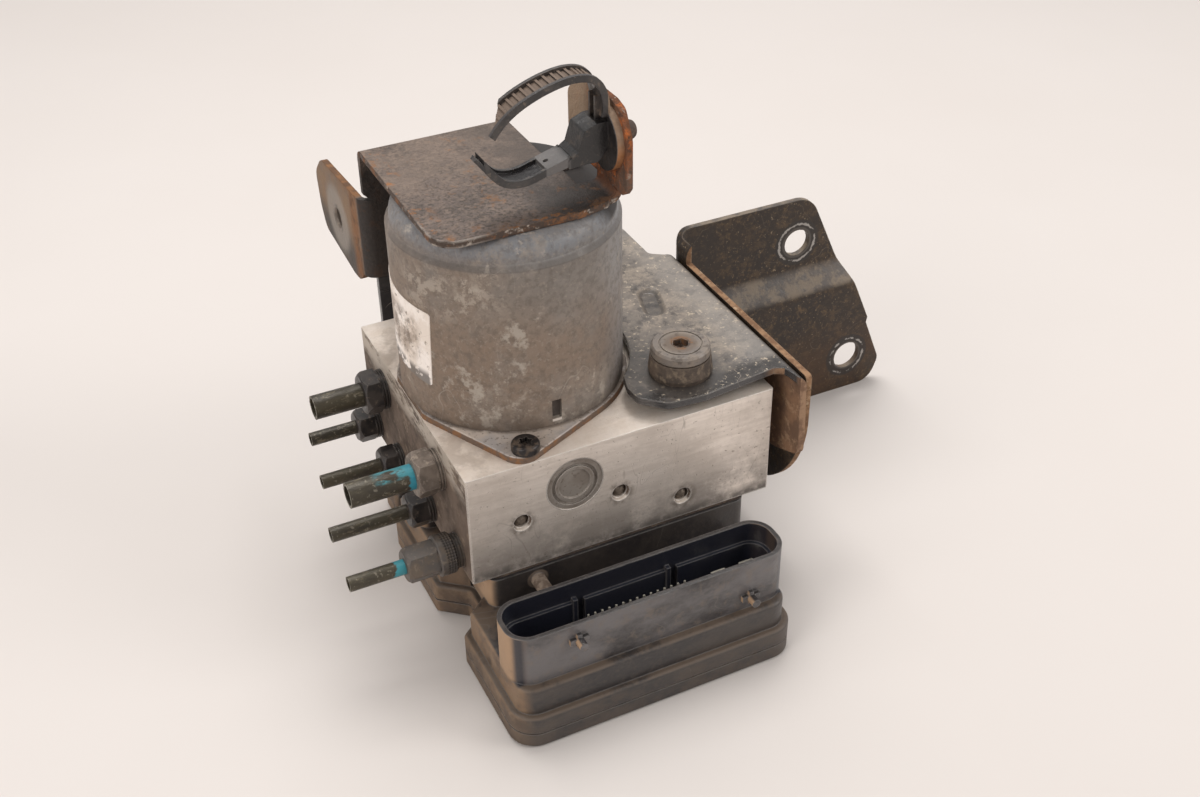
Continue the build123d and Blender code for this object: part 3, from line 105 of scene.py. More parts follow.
class Look:
    # a finish's base row is red, green, blue, roughness, metallic
    def __init__(self, name, finish):
        *colour, roughness, metallic = finish["base"]
        self.finish = finish
        self.material = bpy.data.materials.new(name)
        self.material.use_nodes = True
        self.tree = self.material.node_tree
        self.shader = self.tree.nodes["Principled BSDF"]
        self.shader.inputs["Specular IOR Level"].default_value = finish.get("specular", 0.5)
        self.place = self.tree.nodes.new("ShaderNodeTexCoord").outputs["Object"]
        split = self.tree.nodes.new("ShaderNodeSeparateXYZ")
        self.tree.links.new(self.place, split.inputs[0])
        self.x, self.y, self.z = split.outputs
        geometry = self.tree.nodes.new("ShaderNodeNewGeometry")
        turned = self.tree.nodes.new("ShaderNodeSeparateXYZ")
        self.tree.links.new(geometry.outputs["Normal"], turned.inputs[0])
        self.nx, self.ny, self.nz = turned.outputs
        self.normal = geometry.outputs["Normal"]
        self.colour = fromSrgb(*colour)
        self.roughness = roughness
        self.metallic = metallic
        self.height = None

    def put(self, socket, value):
        if hasattr(value, "links"):
            self.tree.links.new(value, socket)
        else:
            socket.default_value = value

    def math(self, operation, first, second=0.0, clamp=False):
        return math2(self.tree, operation, first, second, clamp)

    def step(self, value, low, high):
        return smooth(self.tree, value, low, high)

    # from 0 at a row's first place to 1 at its second
    def fade(self, value, label):
        low, high = self.finish[label]
        return self.step(value, low, high)

    def moved(self, stretch, shift):
        mapping = self.tree.nodes.new("ShaderNodeMapping")
        mapping.inputs["Scale"].default_value = stretch
        mapping.inputs["Location"].default_value = (shift, shift * 0.7, shift * 1.3)
        self.tree.links.new(self.place, mapping.inputs["Vector"])
        return mapping.outputs["Vector"]

    def patches(self, scale, level, softness=0.05, detail=6.0, rough=0.6, stretch=None, shift=0.0):
        group = self.tree.nodes.new("ShaderNodeGroup")
        group.node_tree = patchGroup
        vector = self.moved(stretch or (1, 1, 1), shift) if stretch or shift else self.place
        self.tree.links.new(vector, group.inputs["Vector"])
        for label, value in zip(patchValues, (scale, level, softness, detail, rough)):
            group.inputs[label].default_value = value
        return group.outputs["Mask"]

    # thin lines, broken up by patches
    def hairs(self, scale, width, stretch=(1, 1, 1), shift=0.0):
        group = self.tree.nodes.new("ShaderNodeGroup")
        group.node_tree = hairGroup
        self.tree.links.new(self.moved(stretch, shift), group.inputs["Vector"])
        group.inputs["Scale"].default_value = scale
        group.inputs["Width"].default_value = width
        return self.both(group.outputs["Mask"], self.patches(30, 0.52, 0.08, 4, 0.6, shift=shift + 0.2))

    # worn edges: where a rounded normal parts from the true one
    def edges(self, label, low=0.015, high=0.12):
        rounded = self.tree.nodes.new("ShaderNodeBevel")
        rounded.samples = bevelSamples
        rounded.inputs["Radius"].default_value = self.finish[label]
        along = vectorMath(self.tree, "DOT_PRODUCT", rounded.outputs[0], self.normal)
        return self.step(self.math("SUBTRACT", 1.0, along), low, high)

    def ring(self, centre, across):
        group = self.tree.nodes.new("ShaderNodeGroup")
        group.node_tree = ringGroup
        self.tree.links.new(self.place, group.inputs["Vector"])
        group.inputs["Centre"].default_value = centre
        group.inputs["Across"].default_value = across
        return group.outputs["Distance"]

    # a mask given by name is a row of places, each with its axis, where it is 0 and where it is 1;
    # x, y and z are positions in metres, nx, ny and nz are parts of the surface normal
    def named(self, masks):
        found = []
        for mask in masks:
            if isinstance(mask, str):
                found += [self.step(getattr(self, axis), low, high) for axis, low, high in self.finish[mask]]
            else:
                found.append(mask)
        return found

    def both(self, *masks):
        result, *others = self.named(masks)
        for mask in others:
            result = self.math("MULTIPLY", result, mask, True)
        return result

    def either(self, *masks):
        result, *others = self.named(masks)
        for mask in others:
            result = self.math("MAXIMUM", result, mask, True)
        return result

    def inverse(self, mask):
        return self.math("SUBTRACT", 1.0, mask, True)

    def mixed(self, kind, mask, old, new):
        first, second, result = mixSockets[kind]
        mix = self.tree.nodes.new("ShaderNodeMix")
        mix.data_type = kind
        self.put(mix.inputs["Factor"], mask)
        self.put(mix.inputs[first], old)
        self.put(mix.inputs[second], new)
        return mix.outputs[result]

    def blend(self, mask, colour, roughness, metallic, amount):
        if amount != 1.0:
            mask = self.math("MULTIPLY", mask, amount)
        self.colour = self.mixed("RGBA", mask, self.colour, colour)
        if roughness is not None:
            self.roughness = self.mixed("FLOAT", mask, self.roughness, roughness)
        if metallic is not None:
            self.metallic = self.mixed("FLOAT", mask, self.metallic, metallic)

    # a layer's row is red, green, blue, roughness, metallic, amount; None leaves what is below
    def layer(self, label, *masks):
        *colour, roughness, metallic, amount = self.finish[label]
        self.blend(self.both(*masks), fromSrgb(*colour), roughness, metallic, amount)

    # raises the surface by the row's height, in metres, where the mask is 1
    def bump(self, label, mask):
        scaled = self.math("MULTIPLY", mask, self.finish[label])
        self.height = scaled if self.height is None else self.math("ADD", self.height, scaled)

    def done(self):
        self.put(self.shader.inputs["Base Color"], self.colour)
        self.put(self.shader.inputs["Roughness"], self.roughness)
        self.put(self.shader.inputs["Metallic"], self.metallic)
        normal = None
        if "bevel" in self.finish:
            edge = self.tree.nodes.new("ShaderNodeBevel")
            edge.samples = bevelSamples
            edge.inputs["Radius"].default_value = self.finish["bevel"]
            normal = edge.outputs[0]
        if self.height is not None:
            node = self.tree.nodes.new("ShaderNodeBump")
            node.inputs["Strength"].default_value = 1.0
            node.inputs["Distance"].default_value = 1.0
            self.tree.links.new(self.height, node.inputs["Height"])
            if normal is not None:
                self.tree.links.new(normal, node.inputs["Normal"])
            normal = node.outputs[0]
        if normal is not None:
            self.tree.links.new(normal, self.shader.inputs["Normal"])
        return self.material


def dress(look, *names):
    material = look.done()
    for name in names:
        mesh = nodes[name].data
        mesh.materials.clear()
        mesh.materials.append(material)
    print(material.name, "on", ", ".join(names))


# valve block: milled aluminium, brown dirt on the pipe side
blockFinish = {
    "base": (232, 221, 211, 0.34, 0.45),
    "milling": (198, 186, 175, 0.42, 0.4, 0.6),
    "dullBlotches": (178, 166, 155, 0.5, 0.3, 0.5),
    "brightScratches": (232, 224, 214, 0.4, 0.5, 0.5),
    "darkScratches": (120, 108, 98, 0.6, 0.3, 0.45),
    "pits": (126, 112, 100, 0.7, 0.2, 0.6),
    "lowFront": [("z", 0.062, 0.037), ("ny", -0.5, -0.9)],
    "greyLowFront": (112, 104, 98, 0.65, 0.2, 0.75),
    "lowEdgeDirtPlace": [("z", 0.04, 0.036)],
    "lowEdgeDirt": (66, 60, 56, 0.8, 0.1, 0.7),
    "holes": ((-0.0187, -0.0489, 0.054), (0.0163, -0.0489, 0.0535), (0.0395, -0.0489, 0.0436)),
    "holeStainTo": (0.0062, 0.0034),
    "holeStain": (92, 80, 70, 0.8, 0.1, 0.75),
    "holeFillingTo": (0.0031, 0.0027),
    "holeFilling": (104, 88, 72, 0.75, 0.15, 0.8),
    "plugEdgeCentre": (0, -0.0489, 0.063),
    "plugGapTo": (0.0104, 0.01),
    "plugGapFrom": (0.0096, 0.0099),
    "plugGap": (88, 78, 70, 0.8, 0.1, 0.8),
    "topFace": [("nz", 0.5, 0.9)],
    "topFacePaintedHighlight": (238, 226, 214, 0.36, 0.3, 0.75),
    "topStain": (198, 180, 162, 0.6, 0.15, 0.45),
    "topLeftDirtPlace": [("x", -0.012, -0.035)],
    "topLeftDirt": (140, 122, 106, 0.75, 0.1, 0.5),
    "leftSide": [("nx", -0.5, -0.9)],
    "brownSide": (96, 78, 64, 0.8, 0.05, 0.95),
    "darkSideDirt": (66, 53, 44, 0.85, 0, 0.85),
    "sideWear": (146, 128, 110, 0.7, 0.2, 0.6),
    "upperSideBarePlace": [("z", 0.064, 0.073)],
    "upperSideBare": (198, 186, 172, 0.6, 0.3, 0.8),
    "wornWidth": 0.0009,
    "brightEdgePlace": [("y", -0.046, -0.048)],
    "brightEdge": (240, 233, 226, 0.35, 0.55, 0.85),
    "fineRelief": 0.00005,
    "markRelief": -0.00005,
    "bevel": 0.0004,
}
look = Look("blockAluminium", blockFinish)
look.layer("milling", look.patches(420, 0.5, 0.22, 4, 0.6, stretch=(0.16, 1, 1.6)))
look.layer("dullBlotches", look.patches(38, 0.52, 0.13, 9, 0.72))
look.layer("brightScratches", look.hairs(34, 0.0035, stretch=(0.35, 1, 1.2)))
look.layer("darkScratches", look.hairs(52, 0.003, stretch=(1.4, 1, 0.5), shift=0.4))
look.layer("pits", look.patches(760, 0.66, 0.05, 4))
lowFront = look.both("lowFront")
look.layer("greyLowFront", lowFront, look.patches(70, 0.44, 0.14, 9, 0.72))
look.layer("lowEdgeDirt", lowFront, "lowEdgeDirtPlace", look.patches(150, 0.42, 0.1, 8))
for hole in blockFinish["holes"]:
    away = look.ring(hole, (1, 0, 1))
    look.layer("holeStain", look.fade(away, "holeStainTo"), look.patches(300, 0.46, 0.1, 8))
    look.layer("holeFilling", look.fade(away, "holeFillingTo"))
plugEdge = look.ring(blockFinish["plugEdgeCentre"], (1, 0, 1))
look.layer("plugGap", look.fade(plugEdge, "plugGapTo"), look.fade(plugEdge, "plugGapFrom"))
topFace = look.both("topFace")
# painted highlight: the block's top face is painted lighter, standing in for the light that falls on it
look.layer("topFacePaintedHighlight", topFace)
look.layer("topStain", topFace, look.patches(90, 0.5, 0.12, 9, 0.72))
look.layer("topLeftDirt", topFace, "topLeftDirtPlace", look.patches(120, 0.5, 0.1, 8))
leftSide = look.both("leftSide")
look.layer("brownSide", leftSide)
look.layer("darkSideDirt", leftSide, look.patches(90, 0.5, 0.12, 9, 0.72))
look.layer("sideWear", leftSide, look.patches(210, 0.6, 0.05, 9, 0.7))
look.layer(
    "upperSideBare",
    leftSide,
    "upperSideBarePlace",
    look.patches(130, 0.47, 0.06, 9, 0.72, stretch=(1, 0.35, 1)),
)
worn = look.edges("wornWidth")
look.layer("brightEdge", worn, "brightEdgePlace", look.patches(160, 0.36, 0.1, 6))
look.bump("fineRelief", look.patches(420, 0.5, 0.3, 4, 0.6, stretch=(0.16, 1, 1.6)))
look.bump("markRelief", look.patches(760, 0.66, 0.05, 4))
dress(look, "valve_block")

plugFinish = {
    "base": (158, 150, 142, 0.4, 0.5),
    "dull": (118, 108, 99, 0.6, 0.3, 0.8),
    "dirt": (96, 84, 75, 0.8, 0.1, 0.7),
    "wornWidth": 0.0005,
    "rim": (196, 188, 180, 0.4, 0.5, 0.7),
    "bevel": 0.0003,
}
look = Look("plugAluminium", plugFinish)
look.layer("dull", look.patches(160, 0.5, 0.15, 6))
look.layer("dirt", look.patches(700, 0.6, 0.06, 4))
look.layer("rim", look.edges("wornWidth"))
dress(look, "pump_plug_front", "pump_plug_rear", "left_store_piston", "right_store_piston", "store_caps")

steelFinish = {"base": (150, 148, 146, 0.35, 0.85)}
look = Look("brightSteel", steelFinish)
dress(
    look, "front_piston", "rear_piston", "motor_shaft", "eccentric_ring", "top_bearing", "lower_bearing",
    "valve_cartridges", "ecu_screws",
)

ballFinish = {
    "base": (128, 116, 104, 0.45, 0.5),
    "dirt": (74, 62, 52, 0.8, 0.1, 0.8),
}
look = Look("dirtySteel", ballFinish)
look.layer("dirt", look.patches(900, 0.5, 0.12, 5))
dress(look, "ball_seals")

# motor can: dull zinc, brown towards the pipe side, with beige patches
canFinish = {
    "base": (136, 129, 122, 0.42, 0.12),
    "greyBlotches": (112, 104, 97, 0.5, 0.08, 0.8),
    "brownLowerPlace": [("z", 0.134, 0.108)],
    "brownLower": (130, 110, 93, 0.6, 0, 0.8),
    "brownPipeSidePlace": [("x", 0.004, -0.03)],
    "brownPipeSide": (128, 108, 91, 0.65, 0, 0.7),
    "greyRightPlace": [("x", 0.01, 0.034)],
    "greyRight": (136, 135, 136, 0.38, 0.12, 0.75),
    "blueShoulderPlace": [("z", 0.136, 0.143)],
    "blueShoulder": (122, 125, 130, 0.42, 0.12, 0.8),
    "fineDark": (86, 77, 70, 0.7, 0, 0.45),
    "fineDust": (156, 144, 131, 0.75, 0, 0.4),
    "chipDust": (148, 136, 124, 0.75, 0, 0.6),
    "chipBare": (182, 170, 157, 0.75, 0, 0.6),
    "upperLeft": [("x", -0.01, -0.024), ("y", -0.002, -0.012), ("z", 0.114, 0.126), ("z", 0.138, 0.13)],
    "upperLeftWear": (170, 158, 145, 0.75, 0, 0.7),
    "scatteredWear": (176, 166, 154, 0.75, 0, 0.7),
    "darkSpots": (70, 61, 55, 0.8, 0, 0.75),
    "scratches": (168, 158, 147, 0.6, 0.1, 0.5),
    "foot": [("z", 0.085, 0.0795)],
    "footDirt": (88, 75, 64, 0.8, 0, 0.6),
    "crease": [("z", 0.1368, 0.1374), ("z", 0.1392, 0.1386)],
    "creasePaintedShade": (88, 82, 78, 0.7, 0, 0.55),
    "notchWideTo": (0.0017, 0.0015),
    "notchDark": [("z", 0.0818, 0.0823), ("z", 0.0889, 0.0884), ("y", -0.03, -0.033)],
    "notchShade": (54, 46, 42, 0.8, 0, 0.85),
    "notchLipPlace": [("z", 0.0806, 0.0809), ("z", 0.0818, 0.0815), ("y", -0.03, -0.034)],
    "notchLipPaintedHighlight": (226, 216, 206, 0.5, 0.1, 0.8),
    "canTop": [("z", 0.1466, 0.1471), ("nz", 0.8, 0.95)],
    "canCorner": [("z", 0.14, 0.142), ("x", 0.002, 0.008), ("y", -0.03, -0.024)],
    "topShade": (40, 35, 33, 0.75, 0, 0.95),
    "fineRelief": 0.0001,
    "bevel": 0.0003,
    "notchOffset": 0.0003,
}
look = Look("canZinc", canFinish)
look.layer("greyBlotches", look.patches(24, 0.5, 0.14, 9, 0.68))
look.layer("brownLower", "brownLowerPlace", look.patches(26, 0.42, 0.15, 9, 0.7, shift=0.3))
look.layer("brownPipeSide", "brownPipeSidePlace", look.patches(38, 0.42, 0.15, 9, 0.72))
look.layer("greyRight", "greyRightPlace", look.patches(30, 0.42, 0.14, 9, 0.7, shift=1.7))
look.layer("blueShoulder", "blueShoulderPlace", look.patches(34, 0.36, 0.16, 8, 0.7, shift=2.1))
look.layer("fineDark", look.patches(420, 0.54, 0.1, 8, 0.72))
look.layer("fineDust", look.patches(760, 0.6, 0.06, 6, 0.65, shift=0.9))
cluster = look.patches(30, 0.6, 0.05, 6, 0.62, shift=0.55)
ragged = look.patches(110, 0.515, 0.04, 11, 0.78)
look.layer("chipDust", cluster, ragged)
look.layer("chipBare", cluster, look.patches(230, 0.57, 0.03, 10, 0.74, shift=1.3))
upperLeft = look.both("upperLeft")
look.layer("upperLeftWear", upperLeft, look.patches(150, 0.53, 0.03, 11, 0.78))
look.layer("scatteredWear", look.patches(48, 0.6, 0.03, 8, 0.7, shift=3.1), look.patches(260, 0.47, 0.05, 8))
look.layer("darkSpots", look.patches(110, 0.68, 0.03, 9, 0.7, shift=1.1))
look.layer("scratches", look.hairs(46, 0.003, stretch=(1, 1, 0.45)))
foot = look.both("foot")
look.layer("footDirt", foot, look.patches(120, 0.44, 0.1, 8))
crease = look.both("crease")
# painted shade: a darker band along the step crease of the can, broken up by patches
look.layer("creasePaintedShade", crease, look.patches(90, 0.45, 0.1, 8))
sideways = look.math("ADD", look.x, canFinish["notchOffset"])
notchWide = look.fade(look.math("ABSOLUTE", sideways), "notchWideTo")
notchDark = look.both(notchWide, "notchDark")
look.layer("notchShade", notchDark)
# painted highlight: a pale band along the lower lip of the foot notch, below the painted shade
look.layer("notchLipPaintedHighlight", notchWide, "notchLipPlace")
canTop = look.both("canTop")
canCorner = look.both("canCorner")
look.layer("topShade", look.either(canTop, canCorner))
look.bump("fineRelief", look.patches(200, 0.5, 0.3, 7, 0.65))
dress(look, "motor_can")

flangeFinish = {
    "base": (198, 184, 172, 0.42, 0.2),
    "dull": (172, 158, 146, 0.5, 0.2, 0.7),
    "blueGrey": (152, 150, 152, 0.45, 0.2, 0.6),
    "specks": (92, 80, 70, 0.8, 0, 0.7),
    "rim": [("nz", 0.8, 0.35)],
    "brownRim": (96, 74, 58, 0.85, 0, 0.9),
    "rimRust": (140, 98, 62, 0.9, 0, 0.8),
    "canFootCentre": (0, 0, 0.079),
    "footDirtTo": (0.0392, 0.0376),
    "footDirt": (86, 72, 60, 0.85, 0, 0.8),
    "fineRelief": 0.00008,
    "bevel": 0.0003,
}
look = Look("flangeZinc", flangeFinish)
look.layer("dull", look.patches(80, 0.5, 0.12, 9, 0.7))
look.layer("blueGrey", look.patches(60, 0.52, 0.1, 8, 0.7, shift=0.8))
look.layer("specks", look.patches(700, 0.6, 0.06, 5))
rim = look.both("rim")
look.layer("brownRim", rim)
look.layer("rimRust", rim, look.patches(260, 0.52, 0.08))
canFoot = look.ring(flangeFinish["canFootCentre"], (1, 1, 0))
look.layer("footDirt", look.fade(canFoot, "footDirtTo"), look.patches(200, 0.4, 0.1, 7))
look.bump("fineRelief", look.patches(400, 0.5, 0.3))
dress(look, "motor_flange")

labelFinish = {
    "base": (246, 236, 228, 0.55, 0),
    "yellowed": (220, 204, 188, 0.7, 0, 0.6),
    "smudge": [("y", -0.0145, -0.009), ("z", 0.097, 0.101), ("z", 0.117, 0.113)],
    "smudgeBrown": (150, 130, 112, 0.8, 0, 0.7),
    "smudgeDark": (92, 76, 64, 0.8, 0, 0.6),
    "lowEdge": [("z", 0.0975, 0.0945), ("y", -0.0165, -0.015)],
    "lowEdgeWear": (62, 54, 48, 0.8, 0, 0.8),
    "specks": (120, 98, 78, 0.8, 0, 0.7),
    "scratches": (170, 150, 132, 0.8, 0, 0.5),
}
look = Look("labelPaper", labelFinish)
look.layer("yellowed", look.patches(50, 0.54, 0.07, 9, 0.72))
smudge = look.both("smudge")
look.layer("smudgeBrown", smudge, look.patches(80, 0.5, 0.08, 10, 0.75))
look.layer("smudgeDark", smudge, look.patches(240, 0.52, 0.05, 9, 0.72))
lowEdge = look.both("lowEdge")
look.layer("lowEdgeWear", lowEdge, look.patches(260, 0.46, 0.04, 8))
look.layer("specks", look.patches(420, 0.65, 0.04, 6))
look.layer("scratches", look.hairs(60, 0.004))
dress(look, "motor_label")

flangeScrewFinish = {
    "base": (46, 42, 42, 0.32, 0.5),
    "rustyDust": (92, 76, 62, 0.8, 0.1, 0.75),
    "wornWidth": 0.0005,
    "wornEdge": (112, 102, 94, 0.4, 0.3, 0.5),
    "bevel": 0.0002,
}
look = Look("blackScrew", flangeScrewFinish)
look.layer("rustyDust", look.patches(420, 0.56, 0.08))
look.layer("wornEdge", look.edges("wornWidth"))
dress(look, "motor_screws")

# top bracket: dark sheet, finely mottled, rust at the rims and on the lug
topBracketFinish = {
    "base": (96, 82, 74, 0.46, 0.1),
    "darkBlotches": (68, 57, 50, 0.45, 0.1, 0.85),
    "fineMottle": (126, 108, 95, 0.6, 0.1, 0.6),
    "pits": (58, 50, 45, 0.8, 0, 0.65),
    "backPart": [("y", -0.004, 0.012), ("nz", 0.5, 0.9)],
    "dustyBack": (136, 118, 104, 0.65, 0.1, 0.4),
    "darkRightPlace": [("nz", 0.5, 0.9), ("x", -0.008, 0.01)],
    "darkRight": (52, 44, 39, 0.5, 0.1, 0.6),
    "frontDark": [("x", -0.002, 0.012), ("y", -0.004, -0.018), ("z", 0.145, 0.148)],
    "frontShade": (36, 30, 27, 0.6, 0.05, 0.85),
    "nearEdge": [("x", -0.024, -0.0325), ("y", -0.022, -0.03)],
    "nearEdgeRust": (132, 92, 58, 0.9, 0, 0.7),
    "nearEdgeOrange": (154, 100, 52, 0.9, 0, 0.75),
    "scatteredRust": (138, 96, 58, 0.9, 0, 0.6),
    "plateSide": [("nz", 0.7, 0.3), ("z", 0.1458, 0.1466)],
    "sideBrown": (66, 52, 43, 0.75, 0, 0.9),
    "sideRust": (132, 86, 50, 0.9, 0, 0.75),
    "sideBare": (176, 164, 152, 0.5, 0.2, 0.8),
    "frontLeftCentre": (-0.033, -0.03, 0.147),
    "frontLeftTo": (0.02, 0.012),
    "wornWidth": 0.0012,
    "cornerBare": (176, 168, 160, 0.4, 0.3, 0.8),
    "lug": [("x", 0.0236, 0.0262), ("z", 0.148, 0.153)],
    "lugRust": (132, 78, 44, 0.85, 0, 0.95),
    "lugDark": (92, 62, 44, 0.9, 0, 0.85),
    "lugOrange": (186, 100, 40, 0.9, 0, 0.9),
    "lugBlack": (60, 44, 36, 0.95, 0, 0.8),
    "lugPale": (204, 192, 178, 0.8, 0, 0.6),
    "innerLug": [("nx", -0.6, -0.9)],
    "innerLugTanPlace": [("y", -0.032, -0.02), ("z", 0.16, 0.168)],
    "innerLugTan": (150, 124, 100, 0.8, 0, 0.6),
    "innerLugPalePlace": [("y", -0.01, -0.004)],
    "innerLugPale": (168, 144, 120, 0.8, 0, 0.75),
    "lowLug": [("x", 0.0245, 0.0262), ("z", 0.166, 0.156), ("y", -0.026, -0.031)],
    "lowLugBrown": (96, 80, 68, 0.8, 0, 0.7),
    "tab": [("y", 0.042, 0.046)],
    "tabGrey": (112, 95, 80, 0.6, 0.1, 0.85),
    "tabTan": (138, 108, 78, 0.75, 0, 0.65),
    "tabBlackPlace": [("z", 0.114, 0.103)],
    "tabBlack": (46, 42, 40, 0.6, 0, 0.9),
    "nutRingCentre": (-0.0349, 0.0691, 0.1106),
    "tabRustFrom": (0.5, 0.8),
    "tabRust": [("z", 0.124, 0.134), ("y", 0.0545, 0.049)],
    "tabOrange": (128, 84, 48, 0.85, 0, 0.8),
    "tabRustDark": (78, 56, 40, 0.85, 0, 0.7),
    "nutSeatTo": (0.0145, 0.0095),
    "nutSeat": (142, 132, 122, 0.55, 0.2, 0.8),
    "tabRimTo": (0.8, 0.4),
    "tabRim": (126, 86, 52, 0.9, 0, 0.9),
    "tabRimDarkTo": (0.8, 0.4),
    "tabRimDark": (86, 62, 46, 0.9, 0, 0.8),
    "wall": [("z", 0.144, 0.14), ("y", 0.044, 0.0425)],
    "wallShade": (40, 34, 31, 0.7, 0.05, 0.9),
    "fineRelief": 0.00022,
    "markRelief": 0.0007,
    "bevel": 0.0006,
}
look = Look("rustySteel", topBracketFinish)
look.layer("darkBlotches", look.patches(55, 0.5, 0.13, 9, 0.72))
look.layer("fineMottle", look.patches(640, 0.53, 0.09, 6, 0.65))
look.layer("pits", look.patches(900, 0.55, 0.07, 4, shift=0.6))
backPart = look.both("backPart")
look.layer("dustyBack", backPart, look.patches(60, 0.44, 0.12, 9, 0.72))
look.layer("darkRight", "darkRightPlace", look.patches(70, 0.4, 0.12, 8, 0.7))
frontDark = look.both("frontDark")
look.layer("frontShade", frontDark)
nearEdge = look.either("nearEdge")
look.layer("nearEdgeRust", nearEdge, look.patches(95, 0.59, 0.05, 9, 0.72))
look.layer("nearEdgeOrange", nearEdge, look.patches(240, 0.58, 0.05, 9, 0.72, shift=0.4))
look.layer(
    "scatteredRust", look.patches(60, 0.63, 0.04, 7, 0.7, shift=2.3), look.patches(260, 0.5, 0.06, 8, 0.7)
)
plateSide = look.both("plateSide")
look.layer("sideBrown", plateSide)
look.layer("sideRust", plateSide, look.patches(150, 0.55, 0.06, 9, 0.72))
look.layer("sideBare", plateSide, look.patches(300, 0.6, 0.05, 8, 0.7, shift=0.9))
frontLeft = look.both(
    look.fade(look.ring(topBracketFinish["frontLeftCentre"], (1, 1, 0)), "frontLeftTo"),
    look.edges("wornWidth"),
)
look.layer("cornerBare", frontLeft, look.patches(170, 0.44, 0.06, 8))
lug = look.both("lug")
look.layer("lugRust", lug)
look.layer("lugDark", lug, look.patches(120, 0.48, 0.1, 10, 0.75))
look.layer("lugOrange", lug, look.patches(170, 0.56, 0.06, 10, 0.75, shift=0.7))
look.layer("lugBlack", lug, look.patches(330, 0.6, 0.05, 8, 0.7, shift=1.4))
look.layer("lugPale", lug, look.patches(420, 0.63, 0.04, 8, 0.7, shift=2.4))
innerLug = look.both(lug, "innerLug")
look.layer("innerLugTan", innerLug, "innerLugTanPlace")
look.layer("innerLugPale", innerLug, "innerLugPalePlace")
lowLug = look.both("lowLug")
look.layer("lowLugBrown", lowLug)
tab = look.both("tab")
look.layer("tabGrey", tab)
look.layer("tabTan", tab, look.patches(80, 0.46, 0.13, 9, 0.72))
look.layer("tabBlack", tab, "tabBlackPlace", look.patches(70, 0.36, 0.14, 8, 0.7))
nutRing = look.ring(topBracketFinish["nutRingCentre"], (0, 1, 1))
tabRust = look.both(tab, look.fade(look.math("ABSOLUTE", look.nx), "tabRustFrom"), look.either("tabRust"))
look.layer("tabOrange", tabRust, look.patches(70, 0.42, 0.1, 9, 0.72))
look.layer("tabRustDark", tabRust, look.patches(190, 0.56, 0.06, 9, 0.72))
look.layer("nutSeat", tab, look.fade(nutRing, "nutSeatTo"))
look.layer("tabRim", tab, look.fade(look.math("ABSOLUTE", look.nx), "tabRimTo"))
look.layer(
    "tabRimDark",
    tab,
    look.fade(look.math("ABSOLUTE", look.nx), "tabRimDarkTo"),
    look.patches(240, 0.5, 0.08, 8),
)
wall = look.both("wall")
look.layer("wallShade", wall)
look.bump("fineRelief", look.patches(420, 0.5, 0.3, 7, 0.65))
look.bump("markRelief", look.both(lug, look.patches(300, 0.5, 0.3, 8, 0.7)))
dress(look, "top_bracket")

greyNutFinish = {
    "base": (122, 110, 100, 0.45, 0.4),
    "dark": (88, 78, 70, 0.6, 0.25, 0.8),
    "pale": (158, 144, 130, 0.6, 0.3, 0.7),
    "wornWidth": 0.0006,
    "wornEdge": (168, 156, 144, 0.4, 0.4, 0.5),
    "bevel": 0.0003,
}
look = Look("nutGrey", greyNutFinish)
look.layer("dark", look.patches(200, 0.5, 0.12, 7))
look.layer("pale", look.patches(420, 0.6, 0.05))
look.layer("wornEdge", look.edges("wornWidth"))
dress(look, "tab_weld_nut", "front_inlet_nut")

# side bracket: black coat, tan dust on the plate, brown front rim
sideBracketFinish = {
    "base": (54, 52, 53, 0.26, 0),
    "specular": 0.7,
    "plateTop": [("nz", 0.3, 0.9)],
    "dust": (118, 108, 98, 0.42, 0, 0.85),
    "paleDust": (150, 136, 120, 0.55, 0, 0.6),
    "bareBlack": (58, 52, 48, 0.35, 0, 0.8),
    "mottle": (92, 84, 77, 0.7, 0, 0.5),
    "rightSheenPlace": [("x", 0.06, 0.074)],
    "rightSheen": (150, 144, 138, 0.3, 0, 0.5),
    "canSideDirtPlace": [("x", 0.047, 0.037)],
    "plateDarkerBesideCan": (56, 50, 46, 0.4, 0, 0.75),
    "frontGlossPlace": [("y", -0.037, -0.043)],
    "frontGloss": (40, 38, 38, 0.22, 0, 0.9),
    "paleSpecks": (196, 180, 158, 0.8, 0, 0.7),
    "scratches": (168, 152, 134, 0.6, 0, 0.4),
    "bushGapCentre": (0.0461, -0.0334, 0.0835),
    "bushShadeTo": (0.0165, 0.0115),
    "bushShade": (62, 56, 52, 0.55, 0, 0.7),
    "dimple": [("z", 0.0834, 0.0826), ("nz", -0.5, 0.3), ("z", 0.0815, 0.082)],
    "dimpleShade": (44, 42, 43, 0.3, 0, 0.6),
    "outer": [("nx", 0.4, 0.8)],
    "outerDust": (74, 66, 58, 0.5, 0, 0.6),
    "frontRim": [("ny", -0.4, -0.8), ("x", 0.07, 0.076)],
    "rimRust": (152, 118, 88, 0.75, 0, 0.9),
    "rimDark": (98, 68, 48, 0.85, 0, 0.8),
    "innerSide": [("nx", -0.5, -0.9), ("x", 0.0785, 0.079)],
    "innerRust": (146, 108, 78, 0.8, 0, 0.85),
    "innerDark": (92, 68, 52, 0.85, 0, 0.75),
    "innerPale": (170, 138, 108, 0.85, 0, 0.6),
    "frontEdgeWearPlace": [("y", -0.028, -0.036), ("x", 0.0765, 0.0745)],
    "wornWidth": 0.0009,
    "frontEdgeWear": (126, 120, 114, 0.3, 0.1, 0.6),
    "fineRelief": 0.00007,
    "bevel": 0.0006,
}
look = Look("blackSheet", sideBracketFinish)
plateTop = look.both("plateTop")
look.layer("dust", plateTop, look.patches(30, 0.46, 0.08, 10, 0.76))
look.layer("paleDust", plateTop, look.patches(95, 0.52, 0.07, 10, 0.76, shift=0.5))
